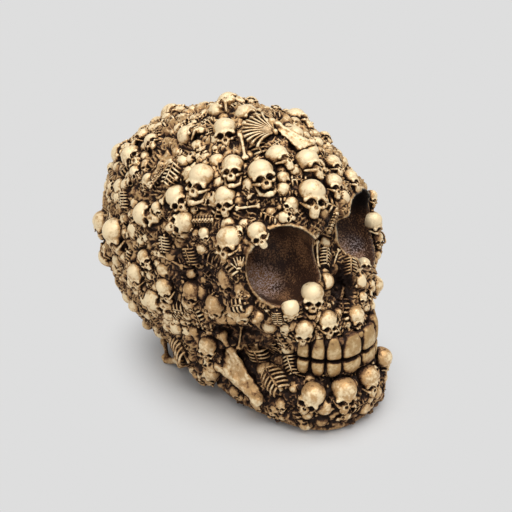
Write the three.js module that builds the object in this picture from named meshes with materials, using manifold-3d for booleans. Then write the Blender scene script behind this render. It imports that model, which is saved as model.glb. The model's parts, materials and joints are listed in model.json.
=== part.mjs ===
// A Halloween skull ornament in cast resin, covered all over in small skulls and bones.
// Millimetres. The face looks along -Y, +X is the skull's own left, +Z is up, and it stands on z = 0.
import * as THREE from "three";
import { mergeVertices } from "three/addons/utils/BufferGeometryUtils.js";
import Module from "manifold-3d";

const wasm = await Module();
wasm.setup();
const { degToRad } = THREE.MathUtils;
const both = [-1, 1];

// Seats and cuts
const seatGap = 0.3;
const overrun = 4;
const weldReach = 1e-4;

// Braincase: an egg that is a little wider and lower at the back
const caseHalfWidth = 46;
const caseHalfLength = 66;
const caseUpHeight = 56;
const caseCentreHeight = 66;
const caseFloorGap = 4;
const caseDownHeight = caseCentreHeight - caseFloorGap;
const caseDroop = 6;
const caseFullnessShare = 0.82;
const caseWideningShare = 0.07;
const caseSquareness = 2.25;
const caseRows = 13;
const caseColumns = 20;

// Face, from the upper teeth to the brow; it keeps its place on the braincase
const mouthDrop = 30.8;
const mouthHeight = caseCentreHeight - mouthDrop;
const mouthGap = 1.6;
const faceHeight = 64;
const faceInset = 2;
const faceHalfWidth = caseHalfWidth - faceInset;
const faceLead = 10;
const faceReach = caseHalfLength + faceLead;
const faceBackReach = 10;
const faceSquareness = 2.7;
const faceTaperShare = 0.12;
const faceColumns = 24;

// Temple and cheek hollows, cut on both sides
const templeHalfWidth = 9;
const templeHalfLength = 20;
const templeHalfHeight = 17;
const templeOutset = 3;
const templeSpacing = 2 * (caseHalfWidth + templeOutset);
const templeSetback = 46;
const templeReach = faceReach - templeSetback;
const templeRise = 2;
const templeHeight = caseCentreHeight + templeRise;
const cheekHalfWidth = 12;
const cheekHalfLength = 16;
const cheekHalfHeight = 9;
const cheekInset = 9;
const cheekSpacing = 2 * (caseHalfWidth - cheekInset);
const cheekSetback = 34;
const cheekReach = faceReach - cheekSetback;
const cheekRise = 4.8;
const cheekHeight = mouthHeight + cheekRise;

// Eye sockets
const socketSpacing = 46.5;
const socketSetback = 21;
const socketReach = faceReach - socketSetback;
const socketRise = 11.5;
const socketHeight = caseCentreHeight + socketRise;
const socketHalfWidth = 15.5;
const socketHalfHeight = 17.5;
const socketDepth = 21;
const socketAngle = 12;

// Nasion: the root of the nose, hollowed back between the sockets
const nasionHalfWidth = 18;
const nasionHalfHeight = 13;
const nasionDepth = 16.5;
const nasionSetback = 4;
const nasionReach = faceReach - nasionSetback;
const nasionRise = 14;
const nasionHeight = caseCentreHeight + nasionRise;

// Nose
const noseHalfWidth = 7;
const noseHalfHeight = 11;
const noseDepth = 9;
const noseSetback = 8;
const noseReach = faceReach - noseSetback;
const noseDrop = 2;
const noseHeight = caseCentreHeight - noseDrop;

// Lower jaw and the branches that rise behind it
const jawInset = 11;
const jawHalfWidth = caseHalfWidth - jawInset;
const jawLead = 6;
const jawReach = faceReach + jawLead;
const jawBackReach = 6;
const jawSquareness = 2.8;
const jawTaperShare = 0.22;
const jawHollowRadius = 12;
const jawHollowLength = 28;
const jawHollowInset = 12;
const jawHollowSpacing = 2 * (caseHalfWidth - jawHollowInset);
const jawHollowSetback = 30;
const jawHollowReach = faceReach - jawHollowSetback;
const jawHollowDrop = 1.2;
const jawHollowHeight = mouthHeight - jawHollowDrop;
const branchHalfWidth = 7;
const branchHalfLength = 12;
const branchInset = 13;
const branchSpacing = 2 * (caseHalfWidth - branchInset);
const branchReach = 17;
const branchDrop = 3.2;
const branchHeight = mouthHeight - branchDrop;
const branchFloorGap = 6;
const branchHalfHeight = branchHeight - branchFloorGap;

// Neck under the braincase
const neckHalfWidth = 27;
const neckHalfLength = 20;
const neckCentre = 8;
const neckDrop = 5.2;
const neckTop = mouthHeight - neckDrop;

// Underside: an inset plate on four felt pads
const padRadius = 5;
const padThickness = 1.2;
const padFaces = 12;
const padSpacing = 26;
const padFrontInset = 14;
const padBackInset = 14;
const plateThickness = 2.5;
const plateHalfWidth = 23;
const plateSetback = 8;
const plateFrontReach = faceReach - plateSetback;
const plateBackReach = 22;
const padFrontReach = plateFrontReach - padFrontInset;
const padBackReach = plateBackReach - padBackInset;
const plateSquareness = 2.6;
const plateTaperShare = 0.2;
const baseHeight = padThickness;

// Teeth
const toothWidth = 8.2;
const toothWidthShares = [1.3, 0.95, 0.83, 0.8];
const toothDepth = 5.6;
const toothFaces = 6;
const toothSquareness = 1.4;
const toothGap = 0.7;
const archLead = 4.6;
const archReach = faceReach + archLead;
const archHalfWidth = 20;
const archFall = 11.6;
const archPower = 3;
const upperToothHeight = 9;
const upperRootHeight = 4;
const lowerToothHeight = 7.6;
const lowerRootHeight = 1.6;
const gumHeight = 2.4;
const gumDepth = 4.4;
const gumSetback = 0.9;
const gumRiseShare = 0.86;
const gumSteps = 10;

// Relief: the size of each kind of small casting
const skullWidth = 10;
const boneLength = 15;
const cageLength = 13;
const fanLength = 14;
const spineLength = 12;
const handLength = 10;
const bladeLength = 17;
const castInSpacing = 27;
const castInWidth = 11;
const castInBoneLength = 14;
const castInClearance = 7.5;
const farReach = 300;
const normalAngle = 3;
const quarterTurn = 90;
const leastCosine = 0.03;

function solid(geometry) {
  const bare = geometry.index ? geometry.toNonIndexed() : geometry.clone();
  bare.deleteAttribute("normal");
  bare.deleteAttribute("uv");
  const merged = mergeVertices(bare, weldReach);
  const triVerts = new Uint32Array(merged.index.array);
  const vertProperties = new Float32Array(merged.attributes.position.array);
  const body = () => new wasm.Manifold(new wasm.Mesh({ numProp: 3, vertProperties, triVerts }));
  const made = body();
  if (made.volume() > 0) return made;
  for (let i = 0; i < triVerts.length; i += 3) triVerts.subarray(i, i + 3).reverse();
  return body();
}

function geometryOf(body) {
  const mesh = body.getMesh();
  const made = new THREE.BufferGeometry();
  const places = new Float32Array(mesh.numVert * 3);
  for (let i = 0; i < mesh.numVert; i++) {
    places.set(mesh.vertProperties.subarray(i * mesh.numProp, i * mesh.numProp + 3), i * 3);
  }
  made.setAttribute("position", new THREE.BufferAttribute(places, 3));
  made.setIndex(new THREE.BufferAttribute(new Uint32Array(mesh.triVerts), 1));
  return made;
}

function largestOf(body) {
  const parts = body.decompose();
  return parts.reduce((best, part) => (part.volume() > best.volume() ? part : best));
}

const joined = (parts) => parts.reduce((whole, part) => whole.add(part));
const without = (body, cuts) => cuts.reduce((left, cut) => left.subtract(cut), body);
const moved = (body, matrix) => solid(geometryOf(body).applyMatrix4(matrix));
const signedPower = (value, exponent) => Math.sign(value) * Math.abs(value) ** exponent;

// A closed body through rings of points, with a fan over each end
function ringLoft(rings) {
  const count = rings[0].length;
  const points = rings.flat();
  const faces = [];
  for (let r = 0; r + 1 < rings.length; r++) {
    for (let j = 0; j < count; j++) {
      const a = r * count + j;
      const b = r * count + ((j + 1) % count);
      faces.push(a, b, b + count, a, b + count, a + count);
    }
  }
  for (const ring of [0, rings.length - 1]) {
    const middle = new THREE.Vector3();
    for (const point of rings[ring]) middle.addScaledVector(point, 1 / count);
    const hub = points.push(middle) - 1;
    for (let j = 0; j < count; j++) {
      const a = ring * count + j;
      const b = ring * count + ((j + 1) % count);
      faces.push(...(ring === 0 ? [hub, b, a] : [hub, a, b]));
    }
  }
  const made = new THREE.BufferGeometry().setFromPoints(points);
  made.setIndex(faces);
  return solid(made);
}

const roundCounts = [16, 10];
const socketCounts = [18, 12];
const noseCounts = [10, 8];
const branchCounts = [12, 8];
const jawHollowCounts = [14, 10];

function ellipsoid(half, centre, [columns, rows] = roundCounts, turn = 0) {
  const made = new THREE.SphereGeometry(1, columns, rows);
  made.scale(...half);
  made.rotateZ(degToRad(turn));
  made.translate(...centre);
  return solid(made);
}

function box(size, centre, turn = 0) {
  const made = new THREE.BoxGeometry(...size);
  made.translate(...centre);
  made.rotateZ(degToRad(turn));
  return solid(made);
}

// A level section from the front reach to the back reach, as a superellipse that narrows to the front
function section({ height, halfWidth, front, back, squareness, taper, count }) {
  const middle = (front + back) / 2;
  const half = (front - back) / 2;
  const ring = [];
  for (let j = 0; j < count; j++) {
    const angle = (2 * Math.PI * j) / count;
    const across = signedPower(Math.cos(angle), 2 / squareness);
    const along = signedPower(Math.sin(angle), 2 / squareness);
    const narrowed = 1 - (taper * (1 + along)) / 2;
    ring.push(new THREE.Vector3(across * halfWidth * narrowed, -(middle + half * along), height));
  }
  return ring;
}

function braincase(grow) {
  const rings = [];
  for (let r = 1; r < caseRows; r++) {
    const t = (Math.PI * r) / caseRows;
    const full = Math.sin(t) ** caseFullnessShare;
    const wide = (caseHalfWidth + grow) * (1 - caseWideningShare * Math.cos(t));
    const ring = [];
    for (let j = 0; j < caseColumns; j++) {
      const angle = (2 * Math.PI * j) / caseColumns;
      const tall = (Math.sin(angle) > 0 ? caseUpHeight : caseDownHeight) + grow;
      const x = signedPower(Math.cos(angle), 2 / caseSquareness) * full * wide;
      const rise = signedPower(Math.sin(angle), 2 / caseSquareness) * full * tall;
      const y = -Math.cos(t) * (caseHalfLength + grow);
      ring.push(new THREE.Vector3(x, y, caseCentreHeight + caseDroop * Math.cos(t) + rise));
    }
    rings.push(ring);
  }
  return ringLoft(rings);
}

// Height, half-width and front reach of each level, as shares of the face's height, half-width and reach
const faceLevelShares = [
  [0.0, 0.56, 0.96],
  [0.14, 0.62, 0.97],
  [0.26, 0.8, 0.92],
  [0.38, 0.97, 0.86],
  [0.5, 1.0, 0.8],
  [0.66, 0.95, 0.76],
  [0.81, 0.95, 0.81],
  [0.92, 0.82, 0.78],
  [1.0, 0.6, 0.7],
];

function faceBlock(grow) {
  const bottom = mouthHeight + mouthGap / 2;
  const rings = faceLevelShares.map(([height, width, reach]) =>
    section({
      height: bottom + height * faceHeight + (2 * height - 1) * grow,
      halfWidth: width * faceHalfWidth + grow,
      front: reach * faceReach + grow,
      back: faceBackReach,
      squareness: faceSquareness,
      taper: faceTaperShare,
      count: faceColumns,
    }),
  );
  return ringLoft(rings.reverse());
}

// The same for the jaw, from its underside to the mouth
const jawLevelShares = [
  [0.0, 0.9, 0.98],
  [0.2, 0.98, 1.0],
  [0.45, 0.98, 1.0],
  [0.66, 0.94, 0.97],
  [0.69, 0.8, 0.9],
  [1.0, 0.7, 0.88],
];

function jawBlock(grow) {
  const top = mouthHeight - mouthGap / 2;
  const rings = jawLevelShares.map(([height, width, reach]) =>
    section({
      height: baseHeight + height * (top - baseHeight) + grow,
      halfWidth: width * jawHalfWidth + grow,
      front: reach * jawReach + grow,
      back: jawBackReach,
      squareness: jawSquareness,
      taper: jawTaperShare,
      count: faceColumns,
    }),
  );
  return ringLoft(rings.reverse());
}

function neck(grow) {
  const made = new THREE.CylinderGeometry(1, 1, neckTop - baseHeight + 2 * grow, faceColumns);
  made.rotateX(Math.PI / 2);
  made.scale(neckHalfWidth + grow, neckHalfLength + grow, 1);
  made.translate(0, neckCentre, (neckTop + baseHeight) / 2);
  return solid(made);
}

// The skull above the mouth, with its sockets, nasion, nose and hollows; grow gives it with clearance
function cranium(grow) {
  const hollows = both.flatMap((side) => [
    ellipsoid(
      [socketHalfWidth - grow, socketDepth - grow, socketHalfHeight - grow],
      [(side * socketSpacing) / 2, -socketReach, socketHeight],
      socketCounts,
      side * socketAngle,
    ),
    ellipsoid(
      [templeHalfWidth - grow, templeHalfLength - grow, templeHalfHeight - grow],
      [(side * templeSpacing) / 2, -templeReach, templeHeight],
    ),
    ellipsoid(
      [cheekHalfWidth - grow, cheekHalfLength - grow, cheekHalfHeight - grow],
      [(side * cheekSpacing) / 2, -cheekReach, cheekHeight],
    ),
  ]);
  hollows.push(
    ellipsoid(
      [noseHalfWidth - grow, noseDepth - grow, noseHalfHeight - grow],
      [0, -noseReach, noseHeight],
      noseCounts,
    ),
    ellipsoid(
      [nasionHalfWidth - grow, nasionDepth - grow, nasionHalfHeight - grow],
      [0, -nasionReach, nasionHeight],
    ),
  );
  return without(joined([braincase(grow), faceBlock(grow), neck(grow)]), hollows);
}

function jaw(grow) {
  const branches = both.map((side) =>
    ellipsoid(
      [branchHalfWidth + grow, branchHalfLength + grow, branchHalfHeight + grow],
      [(side * branchSpacing) / 2, -branchReach, branchHeight],
      branchCounts,
    ),
  );
  const hollows = both.map((side) =>
    ellipsoid(
      [jawHollowRadius - grow, jawHollowLength / 2 - grow, jawHollowRadius - grow],
      [(side * jawHollowSpacing) / 2, -jawHollowReach, jawHollowHeight],
      jawHollowCounts,
    ),
  );
  return largestOf(without(joined([jawBlock(grow), ...branches]), [...hollows, cranium(seatGap)]));
}

// The plate's outline, grown by the seat gap where it is cut into the castings
function plate(grow) {
  const bottom = baseHeight - (grow > 0 ? overrun : 0);
  const level = (height) =>
    section({
      height,
      halfWidth: plateHalfWidth + grow,
      front: plateFrontReach + grow,
      back: -plateBackReach - grow,
      squareness: plateSquareness,
      taper: plateTaperShare,
      count: faceColumns,
    });
  return ringLoft([level(baseHeight + plateThickness + grow), level(bottom)]);
}

// Small skull: place from crown to chin, half-width and height above its seat, as shares of its width
const skullRingShares = [
  [0.6, 0.18, 0.24],
  [0.44, 0.42, 0.5],
  [0.1, 0.5, 0.6],
  [-0.24, 0.38, 0.5],
  [-0.58, 0.21, 0.34],
];
const plainRingShares = [
  [0.56, 0.26, 0.34],
  [0.06, 0.5, 0.6],
  [-0.58, 0.21, 0.36],
];
const skullAngles = [0, 45, 90, 135, 180];
const castInSinkShare = 0.12;
const eyeShares = { radius: 0.145, spacing: 0.34, drop: 0.07, floor: 0.3, depth: 0.5 };
const eyeFaces = 4;

function smallSkull(width, ringShares) {
  const rings = ringShares.map(([along, halfWidth, height]) =>
    skullAngles.map((angle) => {
      const x = Math.cos(degToRad(angle)) * halfWidth * width;
      return new THREE.Vector3(x, along * width, Math.sin(degToRad(angle)) * height * width);
    }),
  );
  const eyes = both.map((side) => {
    const eye = new THREE.CylinderGeometry(
      eyeShares.radius * width,
      eyeShares.radius * width,
      eyeShares.depth * width,
      eyeFaces,
    );
    eye.rotateX(Math.PI / 2);
    const middle = (eyeShares.floor + eyeShares.depth / 2) * width;
    eye.translate((side * eyeShares.spacing * width) / 2, -eyeShares.drop * width, middle);
    return solid(eye);
  });
  return without(ringLoft(rings), eyes);
}

const fineSkull = (width) => smallSkull(width, skullRingShares);
const plainSkull = (width) => smallSkull(width, plainRingShares);

// Long bone, as shares of its length: place along it and radius
const boneShares = [
  [-0.5, 0],
  [-0.46, 0.1],
  [-0.38, 0.115],
  [-0.28, 0.06],
  [0.28, 0.055],
  [0.38, 0.11],
  [0.46, 0.1],
  [0.5, 0],
];
const plainBoneShares = [
  [-0.5, 0],
  [-0.4, 0.12],
  [-0.24, 0.06],
  [0.24, 0.055],
  [0.4, 0.115],
  [0.5, 0],
];
const boneRestShare = 0.1;
const boneFaces = 6;
const plainBoneFaces = 5;

function turnedBone(length, shares, faces) {
  const outline = shares.map(([along, radius]) => new THREE.Vector2(radius * length, along * length));
  const made = new THREE.LatheGeometry(outline, faces);
  made.translate(0, 0, boneRestShare * length);
  return solid(made);
}

const longBone = (length) => turnedBone(length, boneShares, boneFaces);
const plainBone = (length) => turnedBone(length, plainBoneShares, plainBoneFaces);

// Rib cage, as shares of its length: an arched barrel parted into ribs by grooves
const cageRingShares = [
  [0.5, 0.2, 0.12],
  [0.28, 0.38, 0.28],
  [0, 0.42, 0.32],
  [-0.28, 0.38, 0.28],
  [-0.5, 0.24, 0.14],
];
const cageAngles = [0, 36, 72, 108, 144, 180];
const grooveShares = { width: 0.075, pitch: 0.18, floor: 0.09 };
const cageGrooves = 5;

function ribCage(length) {
  const rings = cageRingShares.map(([along, halfWidth, height]) =>
    cageAngles.map((angle) => {
      const x = Math.cos(degToRad(angle)) * halfWidth * length;
      return new THREE.Vector3(x, along * length, Math.sin(degToRad(angle)) * height * length);
    }),
  );
  const grooves = [];
  for (let i = 0; i < cageGrooves; i++) {
    const along = (i - (cageGrooves - 1) / 2) * grooveShares.pitch * length;
    const middle = grooveShares.floor * length + length / 2;
    grooves.push(box([length, grooveShares.width * length, length], [0, along, middle]));
  }
  return without(ringLoft(rings), grooves);
}

// Open rib fan, as shares of its length: ribs that spread from one end of the breastbone
const fanShares = { rib: 0.09, hub: 0.17, depth: 0.16, hubDepth: 0.2 };
const fanAngles = [-48, -29, -10, 10, 29, 48];
const hubFaces = 6;

function ribFan(length) {
  const depth = fanShares.depth * length;
  const ribs = fanAngles.map((angle) => {
    const rib = new THREE.BoxGeometry(length, fanShares.rib * length, depth);
    rib.translate(-length / 2, 0, depth / 2);
    rib.rotateZ(degToRad(angle));
    rib.translate(length / 2, 0, 0);
    return solid(rib);
  });
  const hub = new THREE.CylinderGeometry(
    fanShares.hub * length,
    fanShares.hub * length,
    fanShares.hubDepth * length,
    hubFaces,
  );
  hub.rotateX(Math.PI / 2);
  hub.translate(length / 2, 0, (fanShares.hubDepth * length) / 2);
  return joined([solid(hub), ...ribs]);
}

// Backbone, as shares of its length: blocks on a thinner rod
const spineShares = { block: 0.11, pitch: 0.21, width: 0.34, rod: 0.14, rodDepth: 0.16, blockDepth: 0.24 };
const spineBlocks = 5;

function backbone(length) {
  const rodDepth = spineShares.rodDepth * length;
  const blockDepth = spineShares.blockDepth * length;
  const parts = [box([spineShares.rod * length, length, rodDepth], [0, 0, rodDepth / 2])];
  for (let i = 0; i < spineBlocks; i++) {
    const along = (i - (spineBlocks - 1) / 2) * spineShares.pitch * length;
    const size = [spineShares.width * length, spineShares.block * length, blockDepth];
    parts.push(box(size, [0, along, blockDepth / 2]));
  }
  return joined(parts);
}

// Hand, as shares of its length: a palm and spread fingers
const palmShares = { width: 0.42, length: 0.45, depth: 0.22 };
const fingerShares = { width: 0.1, reach: 0.62, depth: 0.18 };
const fingerAngles = [-30, -10, 10, 30];

function bonyHand(length) {
  const palmDepth = palmShares.depth * length;
  const palmLength = palmShares.length * length;
  const palmSize = [palmShares.width * length, palmLength, palmDepth];
  const palm = box(palmSize, [0, -palmLength / 2, palmDepth / 2]);
  const fingers = fingerAngles.map((angle) => {
    const reach = fingerShares.reach * length;
    const depth = fingerShares.depth * length;
    return box([fingerShares.width * length, reach, depth], [0, reach / 4, depth / 2], -angle);
  });
  return joined([palm, ...fingers]);
}

// Shoulder blade, as shares of its length: a flat wedge with a raised spine
const bladeShares = { narrow: 0.1, wide: 0.3, depth: 0.09, ridgeWidth: 0.08, ridgeDepth: 0.24 };
const bladeFaces = 6;

function shoulderBlade(length) {
  const [narrow, wide] = [bladeShares.narrow * length, bladeShares.wide * length];
  const wedge = new THREE.CylinderGeometry(narrow, wide, length, bladeFaces);
  wedge.scale(1, 1, bladeShares.depth / bladeShares.wide);
  wedge.translate(0, 0, bladeShares.depth * length);
  const ridgeDepth = bladeShares.ridgeDepth * length;
  const size = [bladeShares.ridgeWidth * length, length, ridgeDepth];
  return solid(wedge).add(box(size, [narrow, 0, ridgeDepth / 2]));
}

// Each kind's form, its size, and its half-width and half-length on the skull as shares of that size
const kinds = {
  skull: [fineSkull, skullWidth, [0.5, 0.6]],
  bone: [longBone, boneLength, [0.1, 0.5]],
  cage: [ribCage, cageLength, [0.42, 0.5]],
  fan: [ribFan, fanLength, [0.5, 0.4]],
  spine: [backbone, spineLength, [0.17, 0.5]],
  hand: [bonyHand, handLength, [0.3, 0.45]],
  blade: [shoulderBlade, bladeLength, [0.3, 0.5]],
};

// Each seated casting: its name, kind, longitude, latitude and clockwise turn in degrees, and its size
// as a share of its kind's size. Longitude 0 is the middle of the face and the skull's right is negative.
const reliefShares = [
  ["crown_skull", "skull", -134, 86, 180, 1.0],
  ["crown_front_skull", "skull", -50, 69, -8, 1.0],
  ["right_crown_skull", "skull", -92, 66, -125, 0.9],
  ["forehead_skull", "skull", -42, 50, 3, 0.95],
  ["right_forehead_skull", "skull", -62, 46, 12, 1.12],
  ["right_brow_skull", "skull", -46, 38, 0, 0.9],
  ["right_temple_skull", "skull", -75, 37, -49, 0.95],
  ["middle_forehead_skull", "skull", -27, 45, -8, 1.08],
  ["upper_middle_skull", "skull", -15, 50, -16, 0.95],
  ["left_forehead_skull", "skull", -2, 44, 0, 1.05],
  ["middle_brow_skull", "skull", -9, 33, 18, 1.15],
  ["left_brow_skull", "skull", 4, 34, 25, 0.8],
  ["left_upper_brow_skull", "skull", 12, 40, 20, 0.75],
  ["left_outer_brow_skull", "skull", 18, 32, 20, 0.75],
  ["left_temple_skull", "skull", 28, 22, 10, 0.9],
  ["right_socket_edge_skull", "skull", -44, 21, 5, 1.05],
  ["right_socket_corner_skull", "skull", -44, 5, 0, 0.95],
  ["right_socket_top_skull", "skull", -33, 24, -25, 0.8],
  ["right_cheek_skull", "skull", -40, -7, 0, 1.05],
  ["right_cheek_rear_skull", "skull", -51, -12, 10, 0.9],
  ["right_jaw_joint_skull", "skull", -64, -10, 0, 0.85],
  ["right_side_skull", "skull", -81, -13, -20, 0.85],
  ["right_rear_skull", "skull", -121, 3, -18, 1.2],
  ["rear_edge_skull", "skull", -142, -2, 0, 1.0],
  ["lower_rear_skull", "skull", -104, -13, 0, 0.9],
  ["canine_lip_skull", "skull", -18, -13.5, 0, 0.8],
  ["jaw_corner_skull", "skull", -57, -38, 0, 0.8],
  ["nose_side_skull", "skull", -13.5, -3, 5, 0.95],
  ["under_socket_skull", "skull", -23, -5, 0, 0.75],
  ["right_lip_skull", "skull", -10, -12, 3, 0.85],
  ["left_lip_skull", "skull", 2, -14, 0, 0.85],
  ["left_cheek_skull", "skull", 22, -13, 0, 0.85],
  ["left_cheek_bone_skull", "skull", 38, 6, 0, 0.85],
  ["right_side_eye_skull", "skull", -70, 27, 60, 0.95],
  ["rear_crown_skull", "skull", -129, 40, -100, 1.0],
  ["right_chin_skull", "skull", -17, -32, 0, 1.05],
  ["middle_chin_skull", "skull", -8, -30, 0, 1.1],
  ["left_chin_skull", "skull", 2, -29.5, 0, 1.0],
  ["left_jaw_skull", "skull", 13, -30, 0, 0.95],
  ["crown_long_bone", "bone", -34, 59, 0, 1.0],
  ["right_long_bone", "bone", -83, 40, 18, 0.95],
  ["right_arm_bone", "bone", -94, 45, 25, 1.1],
  ["jaw_long_bone", "bone", -41, -42, -45, 1.9],
  ["nose_bridge_bone", "bone", -6, 10, 20, 0.8],
  ["crown_rib_fan", "fan", -17, 65, 30, 1.0],
  ["jaw_rib_cage", "cage", -29, -37, -30, 1.0],
  ["rear_rib_cage", "cage", -77, -50, 75, 1.1],
  ["brow_backbone", "spine", -3, 24, 12, 0.8],
  ["jaw_hand", "hand", -23, -31, 90, 1.0],
  ["crown_shoulder_blade", "blade", 3, 57, -5, 1.0],
];

const boneGold = { color: 0xb8925a, roughness: 0.42, metalness: 0.55 };
const agedBronze = { color: 0x6b4d30, roughness: 0.55, metalness: 0.45 };
const toothGold = { color: 0xa98455, roughness: 0.45, metalness: 0.5 };
const plateBrown = { color: 0x2c2119, roughness: 0.75, metalness: 0 };
const feltBlack = { color: 0x1b1a19, roughness: 0.95, metalness: 0 };

const root = new THREE.Group();

// A cut body goes back to its own frame, and the mesh carries the place
function put(name, body, finish, matrix = new THREE.Matrix4()) {
  const shape = geometryOf(body).applyMatrix4(matrix.clone().invert());
  const mesh = new THREE.Mesh(shape, new THREE.MeshStandardMaterial(finish));
  mesh.name = name;
  mesh.applyMatrix4(matrix);
  root.add(mesh);
}

const castings = [cranium(0), jaw(0)];
const ground = castings.map((body) => new THREE.Mesh(geometryOf(body), new THREE.MeshBasicMaterial()));
const ray = new THREE.Raycaster();

// The angles are those seen on a skull of these proportions, and seats spread with a wider or taller one
const proportionShares = { width: 0.7, length: 1, up: 0.85, down: 0.47 };

function bearing(longitude, latitude) {
  const [across, up] = [degToRad(longitude), degToRad(latitude)];
  const above = Math.sin(up) > 0;
  return new THREE.Vector3(
    (Math.sin(across) * Math.cos(up) * caseHalfWidth) / proportionShares.width,
    (-Math.cos(across) * Math.cos(up) * caseHalfLength) / proportionShares.length,
    (Math.sin(up) * (above ? caseUpHeight : mouthDrop)) / (above ? proportionShares.up : proportionShares.down),
  ).normalize();
}

function hitAt(longitude, latitude) {
  const out = bearing(longitude, latitude);
  const start = out.clone().multiplyScalar(farReach);
  start.z += caseCentreHeight;
  ray.set(start, out.negate());
  return ray.intersectObjects(ground)[0];
}

// Where a casting sits: on the skull, square to it, turned from the line that runs up to the crown
function seat(longitude, latitude, turn) {
  const normal = new THREE.Vector3();
  const spread = normalAngle / Math.max(Math.cos(degToRad(latitude)), leastCosine);
  const around = [[0, 0], [-spread, 0], [spread, 0], [0, -normalAngle], [0, normalAngle]];
  for (const [across, up] of around) normal.add(hitAt(longitude + across, latitude + up).face.normal);
  normal.normalize();
  const out = bearing(longitude, latitude);
  const crownward = bearing(longitude, latitude + quarterTurn);
  crownward.addScaledVector(out, -crownward.dot(out));
  const north = crownward.addScaledVector(normal, -crownward.dot(normal)).normalize();
  const east = new THREE.Vector3().crossVectors(north, normal);
  const angle = degToRad(turn);
  const up = north.clone().multiplyScalar(Math.cos(angle)).addScaledVector(east, Math.sin(angle));
  const side = new THREE.Vector3().crossVectors(up, normal);
  return new THREE.Matrix4().makeBasis(side, up, normal).setPosition(hitAt(longitude, latitude).point);
}

// The skull is rounded, so a flat-based casting stands clear of the highest point under it
const footprintShares = [0, 0.5, 1];
const footprintSteps = 8;

function lifted(matrix, size, [acrossShare, alongShare]) {
  const [side, up, normal] = [0, 1, 2].map((i) => new THREE.Vector3().setFromMatrixColumn(matrix, i));
  const place = new THREE.Vector3().setFromMatrixPosition(matrix);
  let highest = 0;
  for (const share of footprintShares) {
    for (let i = 0; i < footprintSteps; i++) {
      const angle = (2 * Math.PI * i) / footprintSteps;
      const across = Math.cos(angle) * share * acrossShare * size;
      const along = Math.sin(angle) * share * alongShare * size;
      const start = place.clone().addScaledVector(side, across).addScaledVector(up, along);
      start.addScaledVector(normal, size);
      ray.set(start, normal.clone().negate());
      const hit = ray.intersectObjects(ground)[0];
      if (hit) highest = Math.max(highest, size - hit.distance);
    }
  }
  return matrix.clone().setPosition(place.addScaledVector(normal, highest + seatGap));
}

const seats = reliefShares.map(([name, kind, longitude, latitude, turn, share]) => {
  const [make, unit, footprint] = kinds[kind];
  const size = unit * share;
  const matrix = lifted(seat(longitude, latitude, turn), size, footprint);
  const place = new THREE.Vector3().setFromMatrixPosition(matrix);
  return { name, make, size, matrix, place };
});

// Between and behind the seated castings, skulls and bones are cast in on an even spiral
const castInKinds = [
  [plainSkull, castInWidth],
  [plainSkull, castInWidth],
  [plainBone, castInBoneLength],
];
const socketPlaces = both.map(
  (side) => new THREE.Vector3((side * socketSpacing) / 2, -socketReach, socketHeight),
);
const mouthPlace = new THREE.Vector3(0, -archReach, mouthHeight);
const goldenAngle = 180 * (3 - Math.sqrt(5));

function isFree(place, size) {
  const socketBerth = socketHalfHeight + castInClearance;
  const nearSeat = seats.some((item) => item.place.distanceTo(place) < (item.size + size) / 2);
  const nearSocket = socketPlaces.some((socket) => socket.distanceTo(place) < socketBerth);
  const nearMouth = mouthPlace.distanceTo(place) < 2 * archHalfWidth;
  return !nearSeat && !nearSocket && !nearMouth && place.z > baseHeight + castInWidth;
}

const castIn = [];
const spiralCount = Math.round((4 * Math.PI * caseHalfWidth * caseHalfLength) / castInSpacing ** 2);
for (let i = 0; i < spiralCount; i++) {
  const latitude = THREE.MathUtils.radToDeg(Math.asin(1 - (2 * i + 1) / spiralCount));
  const longitude = (i * goldenAngle) % 360;
  const matrix = seat(longitude, latitude, i * goldenAngle);
  matrix.multiply(new THREE.Matrix4().makeTranslation(0, 0, -castInSinkShare * castInWidth));
  const carrier = hitAt(longitude, latitude).object;
  const [make, size] = castInKinds[i % castInKinds.length];
  const place = new THREE.Vector3().setFromMatrixPosition(matrix);
  if (isFree(place, size)) castIn.push({ make, size, matrix, carrier });
}

const plateRecess = plate(seatGap);
const [craniumForm, jawForm] = castings;
const craniumSkin = cranium(seatGap);
const jawSkin = jaw(seatGap);
const [craniumCasts, jawCasts] = ground.map((carrier) =>
  castIn
    .filter((item) => item.carrier === carrier)
    .map((item) => moved(item.make(item.size), item.matrix)),
);
const craniumWhole = joined([craniumForm, ...craniumCasts]);
const craniumBerth = joined([craniumSkin, ...craniumCasts]);
const jawWhole = largestOf(joined([jawForm, ...jawCasts]).subtract(craniumBerth));
put("cranium_casting", craniumWhole.subtract(plateRecess), agedBronze);
put("jaw_casting", largestOf(jawWhole.subtract(plateRecess)), agedBronze);
put("base_plate", plate(0), plateBrown);
for (const [end, reach] of [["front", -padFrontReach], ["rear", padBackReach]]) {
  for (const side of both) {
    const pad = new THREE.CylinderGeometry(padRadius, padRadius, padThickness, padFaces).rotateX(Math.PI / 2);
    const place = new THREE.Matrix4().makeTranslation((side * padSpacing) / 2, reach, padThickness / 2);
    put(`${side < 0 ? "right" : "left"}_${end}_pad`, solid(pad.applyMatrix4(place)), feltBlack, place);
  }
}

// The line of the teeth: flat across the front, falling back to both sides
function archAt(x) {
  const fall = archFall * Math.abs(x / archHalfWidth) ** archPower;
  return new THREE.Vector3(x, fall - archReach, 0);
}

const archSteps = 80;
const archStep = toothWidth / archSteps;
const archRun = (x) => archAt(x + archStep).sub(archAt(x - archStep)).normalize();

// A point set back from the line of the teeth, square to it
function behindArch(x, setback) {
  const run = archRun(x);
  return archAt(x).add(new THREE.Vector3(-run.y, run.x, 0).multiplyScalar(setback));
}

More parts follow.
